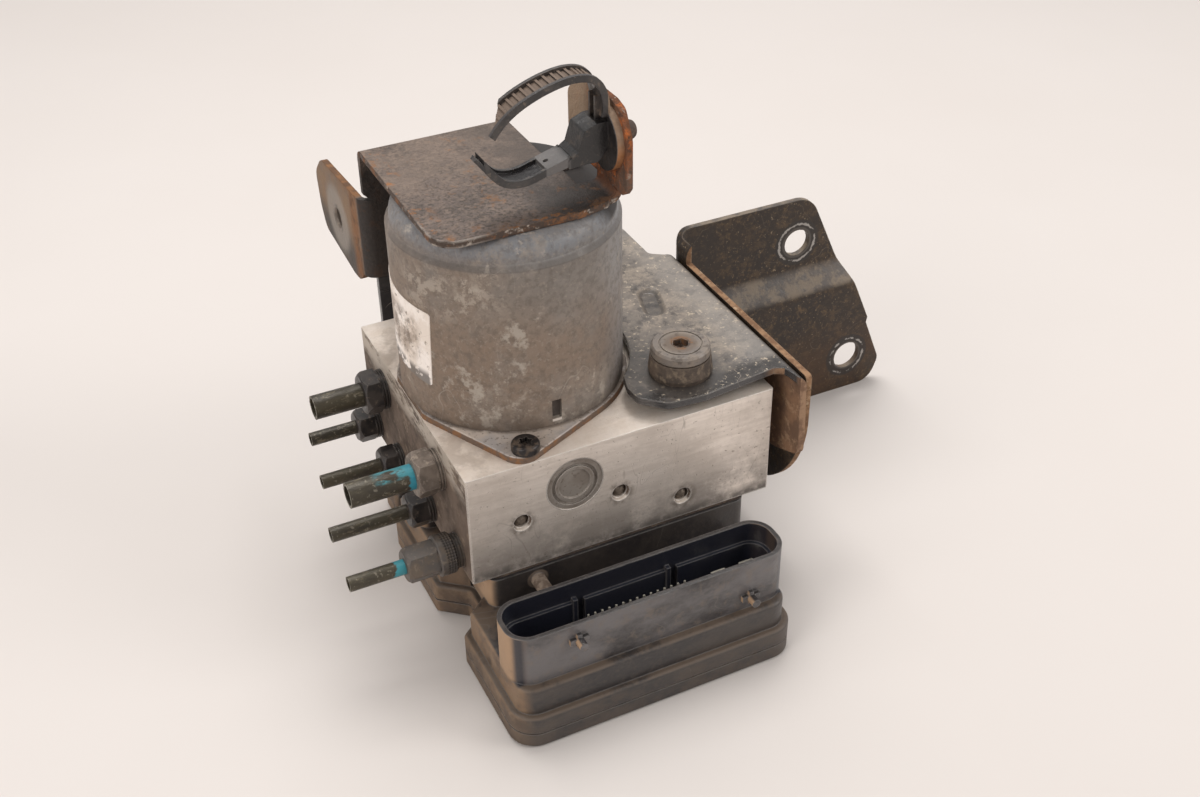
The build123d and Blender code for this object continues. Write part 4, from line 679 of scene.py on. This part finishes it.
look.layer("bareBlack", plateTop, look.patches(170, 0.56, 0.05, 9, 0.74, shift=1.9))
look.layer("mottle", plateTop, look.patches(420, 0.56, 0.06, 7, 0.65))
look.layer("rightSheen", plateTop, "rightSheenPlace", look.patches(40, 0.42, 0.1, 8, 0.7))
# the plate top is darker beside the can, in patches
look.layer("plateDarkerBesideCan", plateTop, "canSideDirtPlace", look.patches(70, 0.4, 0.12, 9, 0.72))
look.layer("frontGloss", plateTop, "frontGlossPlace", look.patches(90, 0.4, 0.12, 8, 0.7))
look.layer("paleSpecks", plateTop, look.patches(700, 0.64, 0.04, 4))
look.layer("scratches", look.hairs(40, 0.0035))
bushGap = look.ring(sideBracketFinish["bushGapCentre"], (1, 1, 0))
look.layer("bushShade", plateTop, look.fade(bushGap, "bushShadeTo"))
dimple = look.both("dimple")
look.layer("dimpleShade", dimple)
outer = look.both("outer")
look.layer("outerDust", outer)
frontRim = look.both("frontRim")
look.layer("rimRust", frontRim)
look.layer("rimDark", frontRim, look.patches(190, 0.5, 0.07, 9, 0.72))
innerSide = look.both("innerSide")
look.layer("innerRust", innerSide)
look.layer("innerDark", innerSide, look.patches(90, 0.46, 0.1, 9, 0.72))
look.layer("innerPale", innerSide, look.patches(260, 0.58, 0.05, 8, 0.7))
look.layer("frontEdgeWear", look.edges("wornWidth"), "frontEdgeWearPlace")
look.bump("fineRelief", look.patches(420, 0.5, 0.3, 5))
dress(look, "side_bracket")

# wing bracket
wingFinish = {
    "base": (42, 33, 27, 0.34, 0),
    "specular": 0.4,
    "brownBlotches": (58, 45, 33, 0.45, 0, 0.7),
    "rust": (98, 79, 58, 0.65, 0, 0.45),
    "dust": (124, 100, 72, 0.75, 0, 0.35),
    "paleSpecks": (176, 154, 126, 0.8, 0, 0.5),
    "joggle": [("nz", 0.18, 0.45), ("x", 0.086, 0.09)],
    "joggleSheen": (112, 106, 102, 0.32, 0, 0.5),
    "joggleDust": (150, 134, 114, 0.7, 0, 0.5),
    "upperBack": [("z", 0.06, 0.075), ("x", 0.11, 0.092), ("ny", -0.5, -0.9)],
    "upperShade": (52, 43, 36, 0.45, 0, 0.45),
    "lowWing": [("z", 0.04, 0.012), ("x", 0.105, 0.118)],
    "lowRust": (80, 57, 39, 0.6, 0, 0.7),
    "scratches": (130, 116, 100, 0.6, 0, 0.5),
    "legRim": [("x", 0.0843, 0.0838), ("y", 0.03, 0.026)],
    "legRimTo": (0.7, 0.3),
    "legRimTan": (150, 116, 86, 0.85, 0, 0.92),
    "legRimDark": (104, 74, 52, 0.85, 0, 0.8),
    "legRimPale": (182, 156, 128, 0.85, 0, 0.7),
    "holes": ((0.1361, 0.0361, 0.0727), (0.1607, 0.0301, 0.016)),
    "facing": [("ny", -0.6, -0.9)],
    "washerMarkTo": (0.0102, 0.0094),
    "washerMark": (46, 42, 40, 0.4, 0.1, 0.8),
    "brightFrom": (0.0078, 0.0081),
    "brightTo": (0.0089, 0.0086),
    "washerBright": (170, 165, 160, 0.3, 0.5, 0.85),
    "holeLipTo": (0.0069, 0.0064),
    "holeLipFrom": (0.0054, 0.0058),
    "holeLip": (96, 90, 86, 0.4, 0.3, 0.6),
    "wornWidth": 0.0009,
    "edgeWear": (132, 116, 98, 0.5, 0.1, 0.5),
    "fineRelief": 0.00009,
    "bevel": 0.0006,
    "serration": 0.0006,
}
look = Look("wingSheet", wingFinish)
look.layer("brownBlotches", look.patches(60, 0.5, 0.12, 9, 0.72))
look.layer("rust", look.patches(240, 0.56, 0.06, 9, 0.72))
look.layer("dust", look.patches(620, 0.6, 0.05, 6, 0.65))
look.layer("paleSpecks", look.patches(900, 0.66, 0.04, 4))
joggle = look.both("joggle")
look.layer("joggleSheen", joggle)
look.layer("joggleDust", joggle, look.patches(130, 0.5, 0.06, 9, 0.72))
upperBack = look.both("upperBack")
look.layer("upperShade", upperBack)
lowWing = look.both("lowWing", look.patches(44, 0.46, 0.12, 9, 0.72))
look.layer("lowRust", lowWing)
look.layer("scratches", look.hairs(44, 0.0035))
legRim = look.both(look.fade(look.math("ABSOLUTE", look.nx), "legRimTo"), "legRim")
look.layer("legRimTan", legRim)
look.layer("legRimDark", legRim, look.patches(180, 0.5, 0.07, 9, 0.72))
look.layer("legRimPale", legRim, look.patches(300, 0.6, 0.05, 8, 0.7, shift=1.2))
for hole in wingFinish["holes"]:
    away = look.ring(hole, (1, 0, 1))
    facing = look.both("facing")
    look.layer("washerMark", look.fade(away, "washerMarkTo"), facing)
    serrated = look.math("MULTIPLY", look.patches(620, 0.5, 0.2, 2), wingFinish["serration"])
    edge = look.math("ADD", away, serrated)
    bright = look.both(
        look.fade(edge, "brightFrom"), look.fade(edge, "brightTo"), facing, look.patches(210, 0.5, 0.04, 4)
    )
    look.layer("washerBright", bright)
    look.layer("holeLip", look.fade(away, "holeLipTo"), look.fade(away, "holeLipFrom"), facing)
look.layer("edgeWear", look.edges("wornWidth"), look.patches(150, 0.5, 0.08, 7))
look.bump("fineRelief", look.patches(300, 0.5, 0.3, 6))
dress(look, "wing_bracket")

# rubber mounts and their screws
rubberFinish = {
    "base": (98, 84, 72, 0.6, 0),
    "dark": (60, 51, 45, 0.75, 0, 0.8),
    "dust": (132, 116, 98, 0.9, 0, 0.65),
    "wornWidth": 0.0008,
    "paleEdge": (128, 114, 100, 0.8, 0, 0.4),
    "bevel": 0.0004,
}
look = Look("rubberBrown", rubberFinish)
look.layer("dark", look.patches(130, 0.5, 0.12, 9, 0.72))
look.layer("dust", look.patches(420, 0.58, 0.06, 7))
look.layer("paleEdge", look.edges("wornWidth"))
dress(look, "front_rubber_mount", "rear_rubber_mount", "ecu_seal")

mountScrewFinish = {
    "base": (116, 108, 102, 0.38, 0.12),
    "dust": (132, 120, 108, 0.7, 0, 0.75),
    "dirt": (70, 62, 56, 0.8, 0, 0.6),
    "socketGapCentre": (0.0461, -0.0334, 0.094),
    "socketBrownTo": (0.0066, 0.0044),
    "socketBrown": (98, 82, 68, 0.8, 0, 0.6),
    "socketDarkTo": (0.0034, 0.003),
    "socketDark": (44, 34, 30, 0.8, 0, 0.8),
    "socketRustTo": (0.0044, 0.0034),
    "socketRust": (128, 90, 58, 0.9, 0, 0.7),
    "wornWidth": 0.0006,
    "wornEdge": (156, 146, 134, 0.45, 0.1, 0.5),
    "bevel": 0.0003,
}
look = Look("mountScrew", mountScrewFinish)
look.layer("dust", look.patches(160, 0.5, 0.1, 9, 0.72))
look.layer("dirt", look.patches(420, 0.58, 0.06, 7))
socketGap = look.ring(mountScrewFinish["socketGapCentre"], (1, 1, 0))
look.layer("socketBrown", look.fade(socketGap, "socketBrownTo"))
look.layer("socketDark", look.fade(socketGap, "socketDarkTo"))
look.layer("socketRust", look.fade(socketGap, "socketRustTo"), look.patches(300, 0.5, 0.06))
look.layer("wornEdge", look.edges("wornWidth"))
dress(look, "front_mount_screw", "rear_mount_screw")

# cable clip
clipFinish = {
    "base": (40, 37, 37, 0.28, 0),
    "specular": 0.6,
    "greyBlotches": (70, 64, 60, 0.55, 0, 0.7),
    "specks": (126, 110, 96, 0.8, 0, 0.5),
    "strap": [("z", 0.174, 0.1755)],
    "middle": [("y", -0.0262, -0.0254), ("y", -0.0186, -0.0194)],
    "teethDustPlace": [("nz", -0.1, 0.3)],
    "teethDust": (112, 94, 80, 0.8, 0, 0.85),
    "strapSheenPlace": [("nz", 0.1, 0.6)],
    "strapSheen": (62, 58, 58, 0.32, 0, 0.55),
    "block": [("x", 0.0032, 0.0038), ("x", 0.0122, 0.0114), ("z", 0.166, 0.165)],
    "blockGrey": (104, 100, 98, 0.5, 0, 0.75),
    "channel": [("x", 0.0036, 0.0032), ("z", 0.17, 0.168)],
    "channelBlack": (24, 22, 24, 0.18, 0, 0.8),
    "disc": [("x", 0.0236, 0.024), ("x", 0.027, 0.0265)],
    "discTan": (146, 122, 100, 0.8, 0, 0.9),
    "discBrown": (114, 90, 70, 0.85, 0, 0.7),
    "discEdgeCentre": (0.024, -0.023, 0.1677),
    "discEdgeFrom": (0.0086, 0.0096),
    "lowRim": [("z", 0.172, 0.164)],
    "discRust": (160, 100, 50, 0.9, 0, 0.8),
    "lock": [("x", 0.0105, 0.0115), ("x", 0.0238, 0.0234), ("z", 0.1765, 0.1745)],
    "lockBlack": (26, 23, 23, 0.3, 0, 0.9),
    "lockDust": (96, 84, 74, 0.6, 0, 0.5),
    "studBrownPlace": [("x", 0.0278, 0.0286)],
    "studBrown": (104, 82, 66, 0.7, 0, 0.9),
    "studDarkPlace": [("x", 0.0278, 0.0286)],
    "studDark": (58, 44, 38, 0.8, 0, 0.8),
    "fineRelief": 0.0001,
    "bevel": 0.0003,
}
look = Look("nylonBlack", clipFinish)
look.layer("greyBlotches", look.patches(200, 0.52, 0.1, 8, 0.7))
look.layer("specks", look.patches(600, 0.62, 0.05, 6))
strap = look.both("strap")
middle = look.both("middle")
look.layer("teethDust", strap, middle, "teethDustPlace")
look.layer("strapSheen", strap, look.inverse(middle), "strapSheenPlace")
block = look.both("block")
look.layer("blockGrey", block)
channel = look.both("channel", middle)
look.layer("channelBlack", channel)
disc = look.both("disc")
look.layer("discTan", disc)
look.layer("discBrown", disc, look.patches(130, 0.5, 0.1, 9, 0.72))
discEdge = look.fade(look.ring(clipFinish["discEdgeCentre"], (0, 1, 1)), "discEdgeFrom")
lowRim = look.both(disc, discEdge, "lowRim")
look.layer("discRust", lowRim, look.patches(120, 0.42, 0.08, 7))
lock = look.both("lock")
look.layer("lockBlack", lock)
look.layer("lockDust", lock, look.patches(300, 0.6, 0.05, 8, 0.7))
look.layer("studBrown", "studBrownPlace")
look.layer("studDark", "studDarkPlace", look.patches(260, 0.5, 0.08, 7))
look.bump("fineRelief", look.patches(500, 0.5, 0.3, 5))
dress(look, "cable_clip")

# pipes and nuts
blackNutFinish = {
    "base": (40, 37, 37, 0.32, 0.25),
    "dust": (64, 56, 51, 0.55, 0.15, 0.75),
    "specks": (112, 98, 86, 0.8, 0.1, 0.6),
    "wornWidth": 0.0006,
    "wornEdge": (104, 96, 90, 0.4, 0.2, 0.5),
    "bevel": 0.0003,
}
look = Look("nutBlack", blackNutFinish)
look.layer("dust", look.patches(200, 0.52, 0.1, 8))
look.layer("specks", look.patches(600, 0.63, 0.05))
look.layer("wornEdge", look.edges("wornWidth"))
dress(look, "rear_inlet_nut", "rear_low_line_nut", "middle_low_line_nut", "front_low_line_nut")

knurledNutFinish = {
    "base": (86, 80, 76, 0.42, 0.3),
    "brownDirt": (104, 90, 76, 0.65, 0.2, 0.7),
    "knurl": [("x", -0.0432, -0.0428), ("x", -0.0392, -0.0396)],
    "diamondsFrom": (-0.35, 0.35),
    "groove": (48, 42, 39, 0.7, 0.1, 0.8),
    "specks": (136, 122, 106, 0.8, 0.2, 0.5),
    "fineRelief": -0.00035,
    "bevel": 0.0003,
    "axisHeight": 0.0414,
    "axisForward": 0.0376,
    "turns": 22.0,
    "pitch": 3400.0,
}
look = Look("nutKnurled", knurledNutFinish)
look.layer("brownDirt", look.patches(180, 0.52, 0.1, 8))
knurl = look.both("knurl")
twist = look.tree.nodes.new("ShaderNodeMath")
twist.operation = "ARCTAN2"
look.tree.links.new(look.math("SUBTRACT", look.z, knurledNutFinish["axisHeight"]), twist.inputs[0])
look.tree.links.new(look.math("ADD", look.y, knurledNutFinish["axisForward"]), twist.inputs[1])
turn = look.math("MULTIPLY", twist.outputs[0], knurledNutFinish["turns"])
along = look.math("MULTIPLY", look.x, knurledNutFinish["pitch"])
rise = look.math("SINE", look.math("ADD", turn, along))
fall = look.math("SINE", look.math("SUBTRACT", turn, along))
diamonds = look.fade(look.math("MULTIPLY", rise, fall), "diamondsFrom")
look.layer("groove", knurl, diamonds)
look.layer("specks", look.patches(600, 0.62, 0.05))
look.bump("fineRelief", look.both(knurl, diamonds))
dress(look, "corner_line_nut")

pipeFinish = {
    "base": (74, 67, 52, 0.35, 0.2),
    "darkBlotches": (50, 44, 36, 0.4, 0.2, 0.85),
    "paleScuffs": (128, 118, 98, 0.5, 0.3, 0.6),
    "specks": (150, 142, 126, 0.6, 0.2, 0.5),
    "cutEnd": [("nx", -0.85, -0.97)],
    "cutMetal": (150, 144, 128, 0.35, 0.6, 0.85),
    "cutDirt": (70, 62, 50, 0.6, 0.2, 0.7),
    "frontInlet": [("y", -0.03, -0.0285), ("y", -0.0185, -0.02), ("z", 0.058, 0.06)],
    "tealRingFrom": (-0.0468, -0.046),
    "tealRing": (44, 138, 158, 0.45, 0, 0.95),
    "streak": [("x", -0.06, -0.056), ("z", 0.0676, 0.0684)],
    "tealStreak": (64, 142, 152, 0.45, 0, 0.85),
    "cornerLine": [("y", -0.033, -0.0345), ("z", 0.046, 0.0455)],
    "tealBlobPlace": [("z", 0.0395, 0.0405)],
    "tealBlobFrom": (-0.0585, -0.0578),
    "tealBlob": (58, 146, 158, 0.45, 0, 0.9),
    "fineRelief": 0.00016,
    "markRelief": 0.0003,
    "bevel": 0.0003,
    "raggedness": 0.0035,
}
look = Look("pipeOlive", pipeFinish)
look.layer("darkBlotches", look.patches(120, 0.5, 0.12, 9, 0.72, stretch=(0.35, 1, 1)))
look.layer("paleScuffs", look.patches(300, 0.6, 0.04, 9, 0.72, stretch=(0.4, 1, 1)))
look.layer("specks", look.patches(700, 0.62, 0.05, 5))
cutEnd = look.both("cutEnd")
look.layer("cutMetal", cutEnd)
look.layer("cutDirt", cutEnd, look.patches(500, 0.5, 0.1, 5))
ragged = look.math("MULTIPLY", look.patches(190, 0.5, 0.3, 5), pipeFinish["raggedness"])
spread = look.math("ADD", look.x, ragged)
frontInlet = look.both("frontInlet")
look.layer("tealRing", frontInlet, look.fade(spread, "tealRingFrom"))
streak = look.both(frontInlet, "streak", look.patches(300, 0.44, 0.06, 6, stretch=(0.4, 1, 1)))
look.layer("tealStreak", streak)
cornerLine = look.both("cornerLine")
look.layer("tealBlob", cornerLine, look.fade(spread, "tealBlobFrom"), "tealBlobPlace")
look.bump("fineRelief", look.patches(420, 0.5, 0.3, 6, 0.65, stretch=(0.4, 1, 1)))
look.bump("markRelief", look.both(cutEnd, look.patches(900, 0.5, 0.2, 4)))
dress(
    look, "rear_inlet_tube", "rear_low_line_tube", "middle_low_line_tube", "front_inlet_tube",
    "front_low_line_tube", "corner_line_tube",
)

# control unit: satin black plastic, tan dust on its ledges and left side, with painted light on the left
# side as well
unitFinish = {
    "base": (40, 37, 38, 0.3, 0),
    "specular": 0.6,
    "greyBlotches": (52, 48, 47, 0.4, 0, 0.7),
    "fineDust": (76, 68, 62, 0.6, 0, 0.4),
    "ledges": [("nz", 0.3, 0.8), ("z", 0.03, 0.024)],
    "ledgeDust": (104, 88, 74, 0.7, 0, 0.75),
    "leftPart": [("nx", -0.3, -0.8)],
    "leftDustAndPaintedLight": (132, 106, 82, 0.75, 0, 0.9),
    "leftLowDarkPlace": [("z", 0.014, 0.01)],
    "leftLowDark": (70, 55, 44, 0.7, 0, 0.7),
    "leftPale": (134, 112, 90, 0.85, 0, 0.5),
    "leftUpperDustPlace": [("z", 0.0215, 0.024)],
    "leftUpperDustAndPaintedLight": (176, 144, 114, 0.75, 0, 0.75),
    "lowBand": [("z", 0.014, 0.009), ("y", -0.045, -0.06)],
    "lowBandDust": (86, 74, 64, 0.7, 0, 0.6),
    "frontBand": [("ny", -0.5, -0.9), ("y", -0.084, -0.088), ("z", 0.0235, 0.0225)],
    "frontBandDust": (78, 69, 62, 0.5, 0, 0.5),
    "bodyFront": [("ny", -0.5, -0.9), ("y", -0.06, -0.0515)],
    "bodyDirt": (58, 51, 46, 0.6, 0, 0.7),
    "shroudFace": [("ny", -0.5, -0.9), ("z", 0.0222, 0.0232), ("y", -0.08, -0.0855)],
    "shroudSheen": (108, 104, 104, 0.32, 0, 0.8),
    "shroudDust": (112, 100, 90, 0.7, 0, 0.5),
    "scratches": (112, 104, 98, 0.5, 0, 0.4),
    "inside": (
        ("x", -0.0384, -0.037),
        ("x", 0.0585, 0.0571),
        ("y", -0.086, -0.0846),
        ("y", -0.0678, -0.0692),
        ("z", 0.02, 0.0204),
        ("z", 0.0414, 0.0412),
    ),
    "insideDark": (30, 32, 42, 0.3, 0, 0.95),
    "pegCentre": (-0.0148, -0.055, 0.0293),
    "onPeg": [("y", -0.0495, -0.0502), ("y", -0.0635, -0.0625)],
    "onPegTo": (0.004, 0.0034),
    "pegDust": (138, 122, 108, 0.75, 0, 0.9),
    "pegDirt": (88, 72, 60, 0.85, 0, 0.8),
    "wornWidth": 0.0007,
    "wornEdge": (122, 118, 116, 0.35, 0, 0.55),
    "fineRelief": 0.00004,
    "bevel": 0.0007,
}
look = Look("unitPlastic", unitFinish)
look.layer("greyBlotches", look.patches(40, 0.5, 0.13, 9, 0.72))
look.layer("fineDust", look.patches(520, 0.58, 0.08, 5))
ledges = look.both("ledges")
look.layer("ledgeDust", ledges, look.patches(60, 0.44, 0.1, 9, 0.72))
leftPart = look.both("leftPart")
# left faces: tan dust, together with painted light that makes them lighter and browner
look.layer("leftDustAndPaintedLight", leftPart, look.patches(44, 0.4, 0.13, 9, 0.72))
look.layer("leftLowDark", leftPart, "leftLowDarkPlace", look.patches(60, 0.4, 0.12, 8))
look.layer("leftPale", leftPart, look.patches(160, 0.52, 0.07, 9, 0.72))
# upper left faces: paler tan dust, together with painted light
look.layer("leftUpperDustAndPaintedLight", leftPart, "leftUpperDustPlace", look.patches(70, 0.4, 0.12, 9, 0.72))
lowBand = look.both("lowBand")
look.layer("lowBandDust", lowBand, look.patches(90, 0.5, 0.1, 9, 0.72))
frontBand = look.both("frontBand")
look.layer("frontBandDust", frontBand, look.patches(60, 0.5, 0.1, 9, 0.72, stretch=(0.4, 1, 1)))
bodyFront = look.both("bodyFront")
look.layer("bodyDirt", bodyFront, look.patches(70, 0.5, 0.1, 9, 0.72))
shroudFace = look.both("shroudFace")
look.layer("shroudSheen", shroudFace, look.patches(50, 0.44, 0.14, 8, 0.7, stretch=(0.5, 1, 1)))
look.layer("shroudDust", shroudFace, look.patches(240, 0.58, 0.06, 8, 0.7))
look.layer("scratches", look.hairs(48, 0.0035, stretch=(0.5, 1, 1)))
inside = look.both("inside")
look.layer("insideDark", inside)
peg = look.ring(unitFinish["pegCentre"], (1, 0, 1))
onPeg = look.both(look.fade(peg, "onPegTo"), "onPeg")
look.layer("pegDust", onPeg)
look.layer("pegDirt", onPeg, look.patches(420, 0.5, 0.08, 8, 0.7))
look.layer("wornEdge", look.edges("wornWidth"), look.patches(150, 0.4, 0.1, 7))
look.bump("fineRelief", look.patches(900, 0.5, 0.3, 3))
dress(look, "ecu_housing", "ecu_cover")

contactFinish = {"base": (214, 208, 192, 0.28, 0.7)}
look = Look("contactTin", contactFinish)
dress(look, "connector_pins")

# inner pieces, each with one plain finish and the same faint mottle
plainFinishes = {
    "copperWire": ((176, 98, 58, 0.4, 0.7), ("armature_windings", "commutator", "solenoid_coils")),
    "magnetDark": ((72, 72, 74, 0.5, 0.5), ("magnets", "armature_core")),
    "innerPlastic": ((120, 104, 84, 0.5, 0.0), ("brush_holder", "motor_connector")),
    "carbonBlack": ((40, 40, 40, 0.7, 0.0), ("carbon_brushes", "board_parts")),
    "boardGreen": ((40, 104, 66, 0.5, 0.0), ("circuit_board",)),
}
plainMottle = {"darker": 0.7, "amount": 0.6}
for name, (base, wearers) in plainFinishes.items():
    look = Look(name, {"base": base})
    shade = tuple(c * plainMottle["darker"] for c in look.colour[:3]) + (1.0,)
    look.blend(look.patches(260, 0.52, 0.12, 5), shade, None, None, plainMottle["amount"])
    dress(look, *wearers)
print("materials done")

# floor: pale paper
floorFinish = {
    "size": 6,
    "base": (211, 205, 201, 0.8, 0.0),
    "specular": 0.2,
    "faintPatches": (206, 199, 194, None, None, 0.6),
}
bpy.ops.mesh.primitive_plane_add(size=floorFinish["size"], location=(0, 0, 0))
floor = bpy.context.object
floor.name = "floor"
look = Look("floorPaper", floorFinish)
look.layer("faintPatches", look.patches(3, 0.5, 0.3, 4))
floor.data.materials.append(look.done())
print("floor done")

# light: a pale sky and three soft boxes, each with place, aim, size and power
lighting = {
    "skyColour": (1.0, 0.975, 0.96, 1.0),
    "skyStrength": 0.54,
    "boxColour": (1.0, 0.98, 0.96),
    "boxTop": ((0.10, 0.38, 1.12), (0.03, 0.0, 0.05), (0.8, 0.6), 9.6),
    "boxLeft": ((-1.05, -0.40, 0.75), (0.0, 0.0, 0.08), (0.6, 0.6), 5.4),
    "boxRight": ((1.00, -0.70, 0.75), (0.03, 0.0, 0.06), (0.6, 0.6), 6.4),
}
scene = bpy.context.scene
world = bpy.data.worlds.new("studio") if scene.world is None else scene.world
scene.world = world
world.use_nodes = True
sky = world.node_tree.nodes["Background"]
sky.inputs["Color"].default_value = lighting["skyColour"]
sky.inputs["Strength"].default_value = lighting["skyStrength"]


def softbox(name):
    place, aim, size, power = lighting[name]
    lamp = bpy.data.lights.new(name, "AREA")
    lamp.shape = "RECTANGLE"
    lamp.size, lamp.size_y = size
    lamp.energy = power
    lamp.color = lighting["boxColour"]
    holder = bpy.data.objects.new(name, lamp)
    holder.location = place
    holder.rotation_euler = (Vector(aim) - Vector(place)).to_track_quat("-Z", "Y").to_euler()
    scene.collection.objects.link(holder)


for name in ("boxTop", "boxLeft", "boxRight"):
    softbox(name)
print("lights done")

# camera: azimuth, elevation and roll in degrees
view = {
    "place": (-0.15212, -0.38493, 0.36086),
    "angles": (-25.648, 35.637, -0.8316),
    "lens": 44.467,
    "sensor": 36,
    "nearClip": 0.02,
}
camera = bpy.data.objects.new("camera", bpy.data.cameras.new("camera"))
scene.collection.objects.link(camera)
camera.data.sensor_width = view["sensor"]
camera.data.lens = view["lens"]
camera.data.clip_start = view["nearClip"]
azimuth, elevation, roll = (math.radians(angle) for angle in view["angles"])
level = math.cos(elevation)
back = Vector((math.sin(azimuth) * level, -math.cos(azimuth) * level, math.sin(elevation)))
right = Vector((math.cos(azimuth), math.sin(azimuth), 0))
up = back.cross(right)
across = math.cos(roll) * right + math.sin(roll) * up
above = math.cos(roll) * up - math.sin(roll) * right
turn = Matrix((across, above, back)).transposed().to_4x4()
camera.matrix_world = Matrix.Translation(view["place"]) @ turn
scene.camera = camera
scene.view_settings.view_transform = "Standard"
print("camera done")
